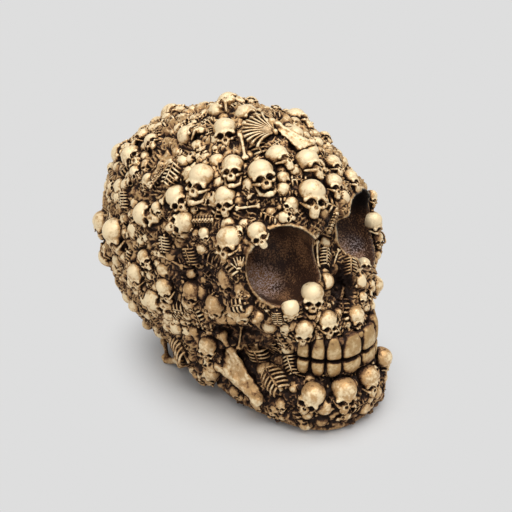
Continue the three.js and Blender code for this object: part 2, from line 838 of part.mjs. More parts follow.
// The teeth of one side, from the front tooth back: where each stands on the arch and how wide it is
function toothPlaces() {
  let [x, travelled, edge] = [0, 0, 0];
  return toothWidthShares.map((share) => {
    const width = share * toothWidth;
    for (; travelled < edge + width / 2; x += archStep) {
      travelled += archAt(x).distanceTo(archAt(x + archStep));
    }
    edge += width;
    return { x, width };
  });
}

// Height, width and depth of a tooth from its biting edge to its root, as shares of the whole
const toothShares = [
  [0, 0.86, 0.7],
  [0.14, 1, 1],
  [0.6, 0.86, 0.9],
  [1, 0.5, 0.5],
];

function tooth(width, height, upward) {
  const rings = toothShares.map(([rise, wide, deep]) => {
    const ring = [];
    for (let j = 0; j < toothFaces; j++) {
      const angle = (2 * Math.PI * (j + 0.5)) / toothFaces;
      const x = signedPower(Math.cos(angle), 1 / toothSquareness) * ((width - toothGap) / 2) * wide;
      const y = signedPower(Math.sin(angle), 1 / toothSquareness) * (toothDepth / 2) * deep;
      ring.push(new THREE.Vector3(x, y, upward * rise * height));
    }
    return ring;
  });
  return ringLoft(upward > 0 ? rings.reverse() : rings);
}

// One row: teeth on both sides, held by a gum that follows the arch
function teethRow(upward) {
  const crown = upward > 0 ? upperToothHeight : lowerToothHeight;
  const root = upward > 0 ? upperRootHeight : lowerRootHeight;
  const edge = mouthHeight + (upward * mouthGap) / 2;
  const places = toothPlaces();
  const parts = places.flatMap(({ x, width }) =>
    both.map((side) => {
      const run = archRun(side * x);
      const matrix = new THREE.Matrix4().makeRotationZ(Math.atan2(run.y, run.x));
      const place = behindArch(side * x, toothDepth / 2);
      return moved(tooth(width, crown + root, upward), matrix.setPosition(place.x, place.y, edge));
    }),
  );
  const last = places[places.length - 1].x;
  const steps = Array.from({ length: gumSteps + 1 }, (_, i) => last * ((2 * i) / gumSteps - 1));
  const front = steps.map((x) => behindArch(x, gumSetback));
  const back = steps.map((x) => behindArch(x, gumSetback + gumDepth)).reverse();
  const gum = new THREE.ExtrudeGeometry(new THREE.Shape([...front, ...back]), {
    depth: gumHeight,
    bevelEnabled: false,
  });
  gum.translate(0, 0, edge + upward * gumRiseShare * crown - gumHeight / 2);
  return joined([...parts, solid(gum)]);
}

const upperTeeth = largestOf(without(teethRow(1), [craniumSkin]));
const lowerTeeth = largestOf(without(teethRow(-1), [jawSkin, craniumSkin]));
put("upper_teeth", upperTeeth, toothGold);
put("lower_teeth", lowerTeeth, toothGold);

// Each seated casting is cut flush with the skull and keeps the seat gap to the castings and to those
// that were seated before it
const settled = [craniumBerth, jawWhole, jawSkin, upperTeeth, lowerTeeth];
for (const { name, make, size, matrix } of seats) {
  const body = moved(make(size), matrix);
  const kept = largestOf(without(body, settled));
  settled.push(moved(make(size + 2 * seatGap), matrix));
  put(name, kept, boneGold, matrix);
}

// The origin is under the middle of the ornament
root.updateMatrixWorld(true);
const middle = new THREE.Box3().setFromObject(root, true).getCenter(new THREE.Vector3());
root.position.set(-middle.x, -middle.y, 0);
export default root;
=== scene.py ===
"""The looks of a Halloween skull ornament in antique-gold resin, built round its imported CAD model.

Lengths here are millimetres in the skull's own frame: +x is its left, the face looks along -y and
+z is up. Each piece goes to metres, in the row's frame, when it becomes a mesh.
"""

import json
import math
from functools import partial

import bpy
import numpy as np
from mathutils import Matrix, Vector
from mathutils.bvhtree import BVHTree

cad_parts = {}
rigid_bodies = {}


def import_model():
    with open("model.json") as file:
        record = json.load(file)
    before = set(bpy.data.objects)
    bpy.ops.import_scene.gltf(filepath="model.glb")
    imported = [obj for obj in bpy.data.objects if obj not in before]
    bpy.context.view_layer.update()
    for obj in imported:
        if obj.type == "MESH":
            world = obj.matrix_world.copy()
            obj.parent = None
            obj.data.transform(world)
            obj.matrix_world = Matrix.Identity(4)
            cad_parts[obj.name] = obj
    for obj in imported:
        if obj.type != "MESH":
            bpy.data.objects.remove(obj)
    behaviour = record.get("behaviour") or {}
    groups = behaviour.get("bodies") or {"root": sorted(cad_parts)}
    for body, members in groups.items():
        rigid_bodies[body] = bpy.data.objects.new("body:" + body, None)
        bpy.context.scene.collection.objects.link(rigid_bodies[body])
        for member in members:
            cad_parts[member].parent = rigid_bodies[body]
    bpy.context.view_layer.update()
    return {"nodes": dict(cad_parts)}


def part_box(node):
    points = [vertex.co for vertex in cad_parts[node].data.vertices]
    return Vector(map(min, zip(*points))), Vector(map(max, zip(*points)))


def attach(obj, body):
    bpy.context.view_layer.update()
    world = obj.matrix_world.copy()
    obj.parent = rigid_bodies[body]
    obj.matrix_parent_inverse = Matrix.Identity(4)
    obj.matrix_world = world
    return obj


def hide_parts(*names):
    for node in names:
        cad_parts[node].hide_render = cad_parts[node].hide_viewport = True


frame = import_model()

bl_info = {
    "name": "Bone Relief Skull",
    "version": (1, 0, 0),
    "blender": (4, 5, 0),
    "location": "View3D > Sidebar > Bone Skull",
    "description": "Builds a resin skull ornament covered in small skulls and bones",
    "category": "Add Mesh",
}

MM = 0.001
SIDES = (-1, 1)
PLATE_MIDDLE = 23.0  # how far in front of the skull's own origin the base plate's middle is

# Braincase
CASE = {"wide": 46.0, "long": 66.0, "up": 56.0, "down": 62.0, "height": 66.0, "droop": 6.0}
CASE_SQUARENESS = 2.25
CASE_FULLNESS = 0.82
CASE_WIDENING = 0.07
PROPORTIONS = {"width": 0.7, "length": 1.0, "up": 0.85, "down": 0.47}

# Face, mouth and jaw; each level is height, half-width and front reach as shares
MOUTH_DROP = 30.8
MOUTH_HEIGHT = 35.2
MOUTH_GAP = 1.6
BASE_HEIGHT = 1.2
FACE_LEVELS = (
    (0.0, 0.56, 0.96), (0.14, 0.62, 0.97), (0.26, 0.8, 0.92), (0.38, 0.97, 0.86), (0.5, 1.0, 0.8),
    (0.66, 0.95, 0.76), (0.81, 0.95, 0.81), (0.92, 0.82, 0.78), (1.0, 0.6, 0.7),
)
JAW_LEVELS = (
    (0.0, 0.9, 0.98), (0.2, 0.98, 1.0), (0.45, 0.98, 1.0), (0.66, 0.94, 0.97), (0.69, 0.8, 0.9),
    (1.0, 0.7, 0.88),
)
PLATE_LEVELS = ((0.0, 1.0, 1.0), (1.0, 1.0, 1.0))
FACE = {"half_width": 44.0, "front": 76.0, "back": 10.0, "squareness": 2.7, "taper": 0.12}
JAW = {"half_width": 35.0, "front": 82.0, "back": 6.0, "squareness": 2.8, "taper": 0.22}
PLATE = {"half_width": 23.3, "front": 68.3, "back": -22.3, "squareness": 2.6, "taper": 0.2}
FACE_TOP = 100.0
PLATE_TOP = 4.0
PLATE_CUT_BOTTOM = -9.0  # the recess for the plate is cut from below the skull
NECK = {"half_width": 27.0, "half_length": 20.0, "middle": 8.0, "top": 30.0}
JAW_BRANCH = {"centre": (33.0, -17.0, 32.0), "half": (7.0, 12.0, 26.0)}
SEAT_GAP = 0.3  # between the jaw and the skull above it

SOCKET = {"across": 23.25, "reach": 55.0, "height": 77.5, "half": (15.5, 21.0, 17.5), "turn": 12.0}
NASION = {"centre": (0.0, -72.0, 81.0), "half": (19.5, 18.0, 15.0)}
# The ridge along each socket's outer edge: points and the ridge's radius there
ORBIT_EDGE = (
    (36.5, -42.0, 91.0, 1.4), (40.0, -44.5, 80.0, 2.6), (40.5, -48.5, 63.0, 3.0), (36.5, -53.0, 57.0, 1.6),
)
# The thin lip round each socket, measured from its wall and from the skull's face
RIM = {"middle": 0.4, "half": 0.65, "above": 1.4, "below": 2.0}
BROW_NOTCH = {"centre": (15.5, -60.0, 88.5), "half": (10.0, 11.0, 8.5)}  # the left socket reaches up here
TEMPLE = {"centre": (49.0, -30.0, 68.0), "half": (9.0, 20.0, 17.0)}
CHEEK = {"centre": (37.0, -42.0, 40.0), "half": (12.0, 16.0, 9.0)}
JAW_HOLLOW = {"centre": (34.0, -46.0, 34.0), "half": (12.0, 14.0, 12.0)}
NOSE_LOBE = {"centre": (2.6, -68.0, 63.0), "half": (4.6, 9.0, 9.5)}
NOSE_ROOT = {"centre": (0.0, -68.0, 71.0), "half": (3.6, 9.0, 7.0)}
# How softly forms run into each other, and hollows into what they are cut in
BLENDS = {
    "face": 4.0, "branch": 3.0, "temple": 3.0, "notch": 3.0, "hollow": 2.0, "orbit": 2.0, "nose_root": 1.5,
    "socket": 1.0, "nose": 0.8, "rim": 0.6,
}
# The boxes in which the castings are meshed
CRANIUM_BOX = ((-54, -84, -2), (54, 76, 130))
JAW_BOX = ((-44, -90, -2), (44, 0, 64))

# Teeth
ARCH_REACH = 80.6
ARCH_HALF_WIDTH = 20.0
ARCH_FALL = 11.6
TOOTH_WIDTH = 8.2
TOOTH_WIDTH_SHARES = (1.3, 0.95, 0.83, 0.8)
TOOTH_DEPTH = 5.6
TOOTH_GAP = 0.9
TOOTH_CORNER = 0.55  # 1 for a round tooth, less for a squarer one
# Each row: its name, the way its teeth grow, the height of their crowns and of the roots sunk in the bone
TOOTH_ROWS = (("upper_teeth", 1, 8.4, 2.0), ("lower_teeth", -1, 5.8, 1.4))
# Up a tooth from its edge: the share of its height, of its width and of its depth
TOOTH_PROFILE = (
    (0.0, 0.6, 0.5), (0.02, 0.84, 0.74), (0.06, 0.95, 0.9), (0.16, 1.0, 1.0), (0.45, 0.98, 1.0),
    (0.66, 0.9, 0.94), (0.8, 0.74, 0.82), (0.93, 0.6, 0.66), (1.0, 0.4, 0.4),
)
GUM = {"height_share": 0.86, "setback": 3.4, "radius": 2.0, "half_length": 17.0}
# The bone chips below the lower row: how many, along how much of the arch, and how they stray and lean
CHIPS = {
    "count": 9, "half_length": 15.0, "size": 4.6, "setback": 1.0, "drop": 0.6, "stray": 0.8, "lean": 14.0,
}

SKULL_WIDTH = 10.0
CAST_IN = (("skull", 11.0), ("skull", 11.0), ("bone", 14.0))
CAST_IN_SPACING = 27.0
CAST_IN_SINK = 1.3
CAST_IN_PITCH = 14
CAST_IN_BERTH = 25.0  # from a socket's middle
KIND_SIZE = {
    "skull": SKULL_WIDTH, "bone": 15.0, "cage": 13.0, "fan": 14.0, "spine": 12.0, "hand": 10.0,
    "blade": 17.0,
}
SEAT_PROBE = 3.0  # how far round a seat, in degrees, the surface is felt for its slope
RAY_START = 300.0  # outside the skull, for rays sent in towards its middle

# Each seated ornament: name, kind, longitude, latitude, turn and size share, as in the CAD model, then
# the pitch (face down) and yaw (face to its left) of a small skull, and whether it has its own jaw.
RELIEF = (
    ("crown_skull", "skull", -134, 86, 180, 1.0, -25, 0, 0),
    ("crown_front_skull", "skull", -50, 69, -8, 1.0, 40, 0, 0),
    ("right_crown_skull", "skull", -92, 66, -125, 0.9, 10, 20, 0),
    ("forehead_skull", "skull", -42, 50, 3, 0.95, 10, 0, 1),
    ("right_forehead_skull", "skull", -62, 46, 12, 1.12, 14, 0, 1),
    ("right_brow_skull", "skull", -46, 38, 0, 0.9, 16, 0, 0),
    ("right_temple_skull", "skull", -75, 37, -49, 0.95, 18, 10, 0),
    ("middle_forehead_skull", "skull", -27, 45, -8, 1.08, 12, 8, 1),
    ("upper_middle_skull", "skull", -15, 50, -16, 0.95, 12, 30, 0),
    ("left_forehead_skull", "skull", -2, 44, 0, 1.05, 14, 20, 0),
    ("middle_brow_skull", "skull", -9, 33, 18, 1.15, 12, 0, 0),
    ("left_brow_skull", "skull", 4, 34, 25, 0.8, 10, 0, 0),
    ("left_upper_brow_skull", "skull", 12, 40, 20, 0.75, 10, 0, 0),
    ("left_outer_brow_skull", "skull", 18, 32, 20, 0.75, 10, 0, 0),
    ("left_temple_skull", "skull", 28, 22, 10, 0.9, 10, 0, 0),
    ("right_socket_edge_skull", "skull", -44, 21, 5, 1.05, 6, 0, 0),
    ("right_socket_corner_skull", "skull", -44, 5, 0, 0.95, 18, 0, 0),
    ("right_socket_top_skull", "skull", -33, 24, -25, 0.8, 0, -10, 0),
    ("right_cheek_skull", "skull", -40, -7, 0, 1.05, 8, 0, 0),
    ("right_cheek_rear_skull", "skull", -51, -12, 10, 0.9, 12, 0, 0),
    ("right_jaw_joint_skull", "skull", -64, -10, 0, 0.85, 12, 0, 0),
    ("right_side_skull", "skull", -81, -13, -20, 0.85, 12, 0, 0),
    ("right_rear_skull", "skull", -121, 3, -18, 1.2, 24, 0, 0),
    ("rear_edge_skull", "skull", -142, -2, 0, 1.0, 12, 0, 0),
    ("lower_rear_skull", "skull", -104, -13, 0, 0.9, 12, 0, 0),
    ("canine_lip_skull", "skull", -18, -13.5, 0, 0.8, 6, 0, 0),
    ("jaw_corner_skull", "skull", -57, -38, 0, 0.8, 12, 0, 0),
    ("nose_side_skull", "skull", -13.5, -3, 5, 0.95, 16, 0, 1),
    ("under_socket_skull", "skull", -23, -5, 0, 0.75, 20, 0, 0),
    ("right_lip_skull", "skull", -10, -12, 3, 0.85, 12, 0, 0),
    ("left_lip_skull", "skull", 2, -14, 0, 0.85, 12, 0, 0),
    ("left_cheek_skull", "skull", 22, -13, 0, 0.85, 12, 0, 0),
    ("left_cheek_bone_skull", "skull", 38, 6, 0, 0.85, 12, 0, 0),
    ("right_side_eye_skull", "skull", -70, 27, 60, 0.95, -6, 0, 0),
    ("rear_crown_skull", "skull", -129, 40, -100, 1.0, 24, 0, 0),
    ("right_chin_skull", "skull", -17, -32, 0, 1.05, 14, 0, 0),
    ("middle_chin_skull", "skull", -8, -30, 0, 1.1, 14, 0, 0),
    ("left_chin_skull", "skull", 2, -29.5, 0, 1.0, 14, 0, 0),
    ("left_jaw_skull", "skull", 13, -30, 0, 0.95, 26, 0, 0),
    ("crown_long_bone", "bone", -34, 59, 0, 1.0),
    ("right_long_bone", "bone", -83, 40, 18, 0.95),
    ("right_arm_bone", "bone", -94, 45, 25, 1.1),
    ("jaw_long_bone", "bone", -41, -42, -45, 1.9),
    ("nose_bridge_bone", "bone", -6, 10, 20, 0.8),
    ("crown_rib_fan", "fan", -17, 65, 30, 1.0),
    ("jaw_rib_cage", "cage", -29, -37, -30, 1.0),
    ("rear_rib_cage", "cage", -77, -50, 75, 1.1),
    ("brow_backbone", "spine", -3, 24, 12, 0.8),
    ("jaw_hand", "hand", -23, -31, 90, 1.0),
    ("crown_shoulder_blade", "blade", 3, 57, -5, 1.0),
)
# The photo's view, in millimetres: where its camera stands round the skull's middle
VIEW = {"azimuth": -44.0, "elevation": 28.0, "distance": 560.0, "aside": 10.45, "below": 12.73, "lens": 86.6}
PHOTO_SIZE = 512
SENSOR = 36.0
FOCAL = VIEW["lens"] / SENSOR * PHOTO_SIZE  # in pixels
SIGHT_SPAN = (460, 640, 91)  # where a line of sight that misses the skull is searched for its nearest point
SEEN_PROBE = 5  # how many pixels round a seat the surface is felt for its slope
SEEN_FACING = 0.4  # how far an ornament's length is measured square to the view, not to the surface

# More ornaments, placed by the photo's pixels: name, kind, its lower end and its upper end there, then
# a small skull's pitch, yaw and whether it has its own jaw
SEEN = (
    ("crown_rear_dome", "skull", (175, 118), (172, 103), 20, 0, 0),
    ("rear_slope_skull", "skull", (147, 164), (128, 155), 14, 0, 0),
    ("rear_edge_dome", "skull", (112, 176), (113, 162), 24, 0, 0),
    ("rear_low_dome", "skull", (124, 186), (109, 189), 14, 0, 0),
    ("rear_mid_dome", "skull", (143, 180), (134, 167), 24, 0, 0),
    ("rear_high_skull", "skull", (160, 153), (149, 136), 10, 0, 0),
    ("rear_arch_skull", "skull", (138, 148), (149, 132), 4, 0, 0),
    ("rear_eye_skull", "skull", (153, 266), (143, 250), 6, 20, 0),
    ("rear_under_dome", "skull", (137, 289), (133, 276), 20, 0, 0),
    ("rear_ring_skull", "skull", (138, 313), (138, 296), 34, 0, 0),
    ("rear_ring_pair", "skull", (155, 313), (154, 300), 30, 0, 0),
    ("rear_floor_dome", "skull", (143, 330), (153, 318), 24, 0, 0),
    ("side_upper_dome", "skull", (161, 217), (158, 202), 22, 0, 0),
    ("side_temple_dome", "skull", (208, 242), (205, 227), 22, 0, 0),
    ("side_cheek_dome", "skull", (191, 310), (189, 294), 26, 0, 0),
    ("crown_back_skull", "skull", (249, 116), (252, 97), 8, 0, 0),
    ("crown_ring_skull", "skull", (271, 119), (279, 106), 0, 0, 0),
    ("crown_edge_dome", "skull", (290, 118), (286, 104), 16, 0, 0),
    ("left_edge_skull", "skull", (327, 148), (322, 131), 14, 0, 0),
    ("brow_middle_skull", "skull", (285, 213), (295, 199), 10, 0, 0),
    ("brow_lying_skull", "skull", (293, 219), (278, 217), 6, 0, 0),
    ("left_far_skull", "skull", (371, 206), (369, 191), 14, 0, 0),
    ("left_rim_dome", "skull", (372, 225), (370, 212), 14, 0, 0),
    ("left_rim_skull", "skull", (377, 247), (375, 232), 14, 0, 0),
    ("left_cheek_dome", "skull", (365, 275), (362, 259), 14, 0, 0),
    ("left_lip_dome", "skull", (360, 306), (360, 292), 16, 0, 0),
    ("left_canine_dome", "skull", (361, 339), (360, 325), 24, 0, 0),
    ("left_molar_dome", "skull", (369, 346), (367, 331), 24, 0, 0),
    ("chin_side_skull", "skull", (283, 411), (282, 396), 10, 0, 0),
    ("jaw_knot_skull", "skull", (238, 398), (236, 384), 20, 0, 0),
    ("jaw_edge_knot", "skull", (260, 411), (258, 398), 20, 0, 0),
    ("rear_swirl_ribs", "cage", (129, 209), (126, 191)),
    ("side_ladder", "spine", (152, 190), (170, 166)),
    ("side_ladder_ribs", "cage", (170, 186), (181, 164)),
    ("side_bright_bone", "bone", (180, 213), (196, 230)),
    ("side_backbone", "spine", (193, 221), (219, 220)),
    ("side_rib_block", "cage", (168, 251), (167, 233)),
    ("side_hollow_ribs", "cage", (196, 262), (190, 242)),
    ("side_low_bone", "bone", (128, 262), (152, 272)),
    ("side_star_hand", "hand", (238, 270), (236, 253)),
    ("crown_small_hand", "hand", (322, 166), (327, 151)),
    ("brow_long_bone", "bone", (262, 206), (236, 209)),
    ("nose_bone", "bone", (330, 270), (338, 249)),
    ("nose_ribs", "cage", (320, 268), (322, 248)),
    ("left_cheek_ribs", "cage", (349, 275), (349, 257)),
    ("nose_side_blade", "blade", (333, 309), (343, 289)),
    ("cheek_ribs", "cage", (278, 321), (277, 306)),
    ("cheek_tie_bone", "bone", (240, 350), (243, 325)),
    ("hollow_bone", "bone", (266, 342), (286, 352)),
    ("hollow_ribs", "cage", (296, 372), (290, 352)),
    ("jaw_wide_bone", "blade", (224, 353), (266, 398)),
    ("chin_long_chip", "chip", (335, 379), (350, 375)),
    ("chin_left_chip", "chip", (350, 377), (361, 371)),
    ("chin_middle_chip", "chip", (325, 376), (333, 379)),
    ("chin_right_chip", "chip", (317, 374), (322, 382)),
    ("chin_edge_chip", "chip", (361, 372), (370, 368)),
    ("chin_flat_hand", "hand", (290, 370), (312, 373)),
    ("jaw_feather_ribs", "cage", (284, 392), (268, 368)),
    ("floor_stump", "chip", (165, 360), (194, 354)),
    ("floor_knob_bone", "chip", (175, 361), (167, 338)),
)
# Where a painted highlight lies in the sockets, by the photo's pixels, how far it reaches and how strong it
# is
SHEEN_SEEN = (((260, 283), 12.0, 1.0), ((352, 250), 9.0, 0.5))
# Painted shadow in the sockets, darker towards their tops: where it starts and is full, above a socket's
# middle, and how dense it is
SOCKET_SHADOW = {"right": (3.0, 14.0, 0.85), "left": (-4.0, 5.0, 1.0)}
BONE_LIFT = 1.1  # how far a bone, a hand or ribs stand off the bare casting
CHIP_STOUTNESS = 2.6  # of a chip against a bone
SKULL_HEIGHT = 1.2  # of a small skull, crown to teeth, as a share of its width

# Where the strewn relief lies: the zones it is laid in, and what it keeps clear of
ZONES = (
    "crown", "right_side", "left_side", "back_right", "back_left", "face", "jaw", "jaw_left", "crown_back",
)
ZONE_EDGES = {
    "crown_bottom": 92.0, "crown_back": 8.0, "sides_back": 18.0, "face_back": -40.0, "face_side": 34.0,
    "jaw_back": -4.0,
}
MOUTH_BERTH = {"half_width": 18.5, "front": -62.0, "half_height": 8.0}
LOWEST_RUBBLE = 3.0
LOWEST_FILLER = 5.0
SOCKET_BERTH = 3.0
FIRST_SEED = 20  # each zone has a seed of its own, counted up from here

# Hollows where painted shade is laid over the wash, and how much of it
SHADED_HOLLOWS = ((TEMPLE, 1.0), (CHEEK, 0.7), (JAW_HOLLOW, 0.2))
# How much painted shade lies inside the nose
NOSE_SHADE = 1.3

# Floor and lights, in metres
FLOOR_SIZE = 8.0
FLOOR_FADE = (0.045, 0.09)  # how far from the skull the floor starts to be backdrop, and is all backdrop
FLOOR_STRETCH = (1.3, 0.95, 1.0)  # it fades sooner across than along the skull
KEY_FROM = (0.0, -0.22, 1.0)  # the lights are suns, so only the way they shine from matters
FILL_FROM = (-0.8, -0.1, 0.6)

# A small skull one unit wide, crown along +y, face along +z: ellipsoids by middle and half size, rods by
# both ends and both radii; the hollows are cut in the order temple, cheek, eye
HEAD = {
    "crown": ((0, 0.21, -0.06), (0.5, 0.45, 0.54)),
    "brow": ((0.07, -0.07, 0.42), (0.37, -0.1, 0.27), 0.08, 0.09),
    "muzzle": ((0, -0.38, 0.25), (0.21, 0.25, 0.19)),
    "cheek_bone": ((0.46, -0.2, 0.0), (0.28, -0.36, 0.35), 0.05, 0.085),
    "teeth": ((0, -0.6, 0.25), (0.2, 0.18, 0.18)),
    "short_teeth": ((0, -0.53, 0.28), (0.19, 0.12, 0.17)),
    "temple": ((0.57, -0.08, 0.18), (0.13, 0.18, 0.2)),
    "cheek": ((0.31, -0.54, 0.38), (0.1, 0.13, 0.16)),
    "eye": ((0.2, -0.18, 0.47), (0.15, 0.135, 0.3)),
    "bridge": ((0, -0.1, 0.43), (0, -0.26, 0.49), 0.03, 0.04),
    "nostril": ((0.035, -0.38, 0.5), (0.055, 0.095, 0.2)),
    "jaw_branch": ((0.38, -0.26, -0.02), (0.3, -0.68, 0.08), 0.06, 0.07),
    "jaw_bow": ((0.3, -0.68, 0.08), (0.06, -0.85, 0.34), 0.075, 0.08),
    "jaw_teeth": ((0, -0.77, 0.33), (0.16, 0.08, 0.08)),
}
HEAD_BACK = -0.3  # it is cut flat here, inside the casting
# Its teeth: how far down and forward they start, the grooves between them, and the line where they meet
BITE = {"down": 0.52, "forward": 0.2, "pitch": 0.1, "groove": 0.025, "line": 0.64, "line_depth": 0.05}

made = {"pieces": []}  # what the operators hand on: pieces, the bare skull in millimetres, and seats


# Shapes as distance fields
def length(v):
    return np.sqrt((v * v).sum(-1))


def mirrored(p):
    """The points as if all lay on the +x side, for forms that are the same on both sides."""
    return np.stack([np.abs(p[..., 0]), p[..., 1], p[..., 2]], -1)


def smooth_min(a, b, reach):
    h = np.clip(0.5 + 0.5 * (b - a) / reach, 0, 1)
    return b * (1 - h) + a * h - reach * h * (1 - h)


def smooth_max(a, b, reach):
    return -smooth_min(-a, -b, reach)


def ellipsoid(p, centre, half, turn=0.0):
    q = p - np.array(centre, "f4")
    if turn:
        c, s = math.cos(math.radians(turn)), math.sin(math.radians(turn))
        q = np.stack([c * q[..., 0] + s * q[..., 1], c * q[..., 1] - s * q[..., 0], q[..., 2]], -1)
    h = np.array(half, "f4")
    near = length(q / h)
    return near * (near - 1) / np.maximum(length(q / (h * h)), 1e-6)


def capsule(p, a, b, start, end):
    a, b = np.array(a, "f4"), np.array(b, "f4")
    run = b - a
    share = np.clip(((p - a) @ run) / (run @ run), 0, 1)
    return length(p - a - share[..., None] * run) - (start + (end - start) * share)


def block(p, levels, bottom, top, half_width, front, back, squareness, taper):
    """A form through level sections: superellipses that narrow to the front."""
    fine = np.linspace(-0.3, 1.3, 321)
    kernel = np.hanning(33) / np.hanning(33).sum()
    shares = np.array(levels)
    share = (p[..., 2] - bottom) / (top - bottom)
    profiles = [np.interp(fine, shares[:, 0], shares[:, i]) for i in (1, 2)]
    padded = [np.pad(profile, len(kernel) // 2, "edge") for profile in profiles]
    widths, fronts = (np.interp(share, fine, np.convolve(profile, kernel, "valid")) for profile in padded)
    fronts = fronts * front
    middle, half = (fronts + back) / 2, (fronts - back) / 2
    forward = -p[..., 1] - middle
    along = forward / half
    narrowed = 1 - taper * (1 + np.clip(along, -1, 1)) / 2
    across = np.abs(p[..., 0]) / (widths * half_width * narrowed)
    size = (across**squareness + np.abs(along) ** squareness) ** (1 / squareness)
    side = np.hypot(p[..., 0], forward) * (1 - 1 / np.maximum(size, 0.05))
    return np.maximum(side, np.maximum(bottom - p[..., 2], p[..., 2] - top))


def braincase(p):
    forward = -p[..., 1] / CASE["long"]
    rise = p[..., 2] - (CASE["height"] + CASE["droop"] * forward)
    wide = CASE["wide"] * (1 - CASE_WIDENING * forward)
    tall = np.where(rise > 0, CASE["up"], CASE["down"])
    n = CASE_SQUARENESS
    across = ((np.abs(p[..., 0]) / wide) ** n + (np.abs(rise) / tall) ** n) ** (1 / n)
    size = np.sqrt(across ** (2 / CASE_FULLNESS) + forward * forward)
    reach = np.sqrt(p[..., 0] ** 2 + p[..., 1] ** 2 + rise**2)
    return reach * (1 - 1 / np.maximum(size, 0.05))


def socket_middle(side):
    return side * SOCKET["across"], -SOCKET["reach"], SOCKET["height"]


def sockets(p):
    half, turn = SOCKET["half"], SOCKET["turn"]
    right, left = (ellipsoid(p, socket_middle(side), half, side * turn) for side in SIDES)
    return np.minimum(right, smooth_min(left, ellipsoid(p, **BROW_NOTCH), BLENDS["notch"]))


def nose(p):
    return smooth_min(ellipsoid(mirrored(p), **NOSE_LOBE), ellipsoid(p, **NOSE_ROOT), BLENDS["nose_root"])


def neck(p):
    across = np.hypot(p[..., 0] / NECK["half_width"], (p[..., 1] - NECK["middle"]) / NECK["half_length"])
    return np.maximum((across - 1) * NECK["half_length"], p[..., 2] - NECK["top"])


def on_base(p, body):
    """Cut flat underneath, with the recess for the base plate."""
    body = np.maximum(body, -block(p, PLATE_LEVELS, PLATE_CUT_BOTTOM, PLATE_TOP, **PLATE))
    return np.maximum(body, BASE_HEIGHT - p[..., 2])


def cranium_field(p):
    face = block(p, FACE_LEVELS, MOUTH_HEIGHT + MOUTH_GAP / 2, FACE_TOP, **FACE)
    body = smooth_min(smooth_min(braincase(p), face, BLENDS["face"]), neck(p), BLENDS["face"])
    q = mirrored(p)
    body = smooth_max(body, -ellipsoid(q, **TEMPLE), BLENDS["temple"])
    body = smooth_max(body, -ellipsoid(q, **CHEEK), BLENDS["hollow"])
    body = smooth_max(body, -ellipsoid(q, **NASION), BLENDS["hollow"])
    for a, b in zip(ORBIT_EDGE, ORBIT_EDGE[1:]):
        body = smooth_min(body, capsule(q, a[:3], b[:3], a[3], b[3]), BLENDS["orbit"])
    hollow = sockets(p)
    lip = np.abs(hollow - RIM["middle"]) - RIM["half"]
    rim = np.maximum(lip, np.maximum(body - RIM["above"], -RIM["below"] - body))
    body = smooth_max(body, -hollow, BLENDS["socket"])
    body = smooth_min(body, rim, BLENDS["rim"])
    body = smooth_max(body, -nose(p), BLENDS["nose"])
    return on_base(p, body)


def jaw_field(p):
    q = mirrored(p)
    body = block(p, JAW_LEVELS, BASE_HEIGHT, MOUTH_HEIGHT - MOUTH_GAP / 2, **JAW)
    body = smooth_min(body, ellipsoid(q, **JAW_BRANCH), BLENDS["branch"])
    body = smooth_max(body, -ellipsoid(q, **JAW_HOLLOW), BLENDS["hollow"])
    return on_base(p, np.maximum(body, SEAT_GAP - cranium_field(p)))


def surface(field, low, high, step):
    """A closed quad mesh round where a field is negative, by surface nets."""
    axes = [np.arange(a, b + step, step, dtype="f4") for a, b in zip(low, high)]
    value = field(np.stack(np.meshgrid(*axes, indexing="ij"), -1)).astype("f4")
    for edge in (np.s_[[0, -1]], np.s_[:, [0, -1]], np.s_[:, :, [0, -1]]):
        value[edge] = np.maximum(value[edge], 0.01 * step)
    inside = value < 0
    corners = [(i, j, k) for i in (0, 1) for j in (0, 1) for k in (0, 1)]
    shape = [n - 1 for n in value.shape]
    count = sum(inside[i:i + shape[0], j:j + shape[1], k:k + shape[2]].astype("i4") for i, j, k in corners)
    cells = np.argwhere((count > 0) & (count < 8))
    index = np.full(shape, -1, "i4")
    index[tuple(cells.T)] = np.arange(len(cells))
    total, crossings = np.zeros((len(cells), 3)), np.zeros(len(cells))
    for a in corners:
        for axis in range(3):
            if a[axis]:
                continue
            b = tuple(1 if i == axis else v for i, v in enumerate(a))
            va, vb = value[tuple((cells + a).T)], value[tuple((cells + b).T)]
            cut = (va < 0) != (vb < 0)
            share = va[cut] / (va[cut] - vb[cut])
            total[cut] += cells[cut] + a + share[:, None] * (np.array(b) - a)
            crossings[cut] += 1
    verts = np.array(low) + step * total / crossings[:, None]
    quads = []
    for axis in range(3):
        u, v = np.eye(3, dtype="i4")[(axis + 1) % 3], np.eye(3, dtype="i4")[(axis + 2) % 3]
        first = np.take(inside, range(inside.shape[axis] - 1), axis)
        second = np.take(inside, range(1, inside.shape[axis]), axis)
        places = np.argwhere(first != second)
        quad = np.stack([index[tuple((places - shift).T)] for shift in (0 * u, u, u + v, v)], -1)
        flip = ~first[tuple(places.T)]
        quad[flip] = quad[flip][:, ::-1]
        quads.append(quad)
    return verts, np.concatenate(quads)


# Shapes as tubes and rings
def rings_mesh(rings):
    """Quads between closed rings, with a fan over each end; rings run so that faces look outward."""
    rings = np.array(rings)
    n, count = rings.shape[:2]
    verts = np.concatenate([rings.reshape(-1, 3), rings[0].mean(0)[None], rings[-1].mean(0)[None]])
    j = np.arange(count)
    k = (j + 1) % count
    quads = [
        np.stack([r * count + j, r * count + k, (r + 1) * count + k, (r + 1) * count + j], -1)
        for r in range(n - 1)
    ]
    low = np.stack([k, j, np.full(count, n * count), np.full(count, n * count)], -1)
    last = (n - 1) * count
    high = np.stack([last + j, last + k, np.full(count, n * count + 1), np.full(count, n * count + 1)], -1)
    return verts, np.concatenate(quads + [low, high])


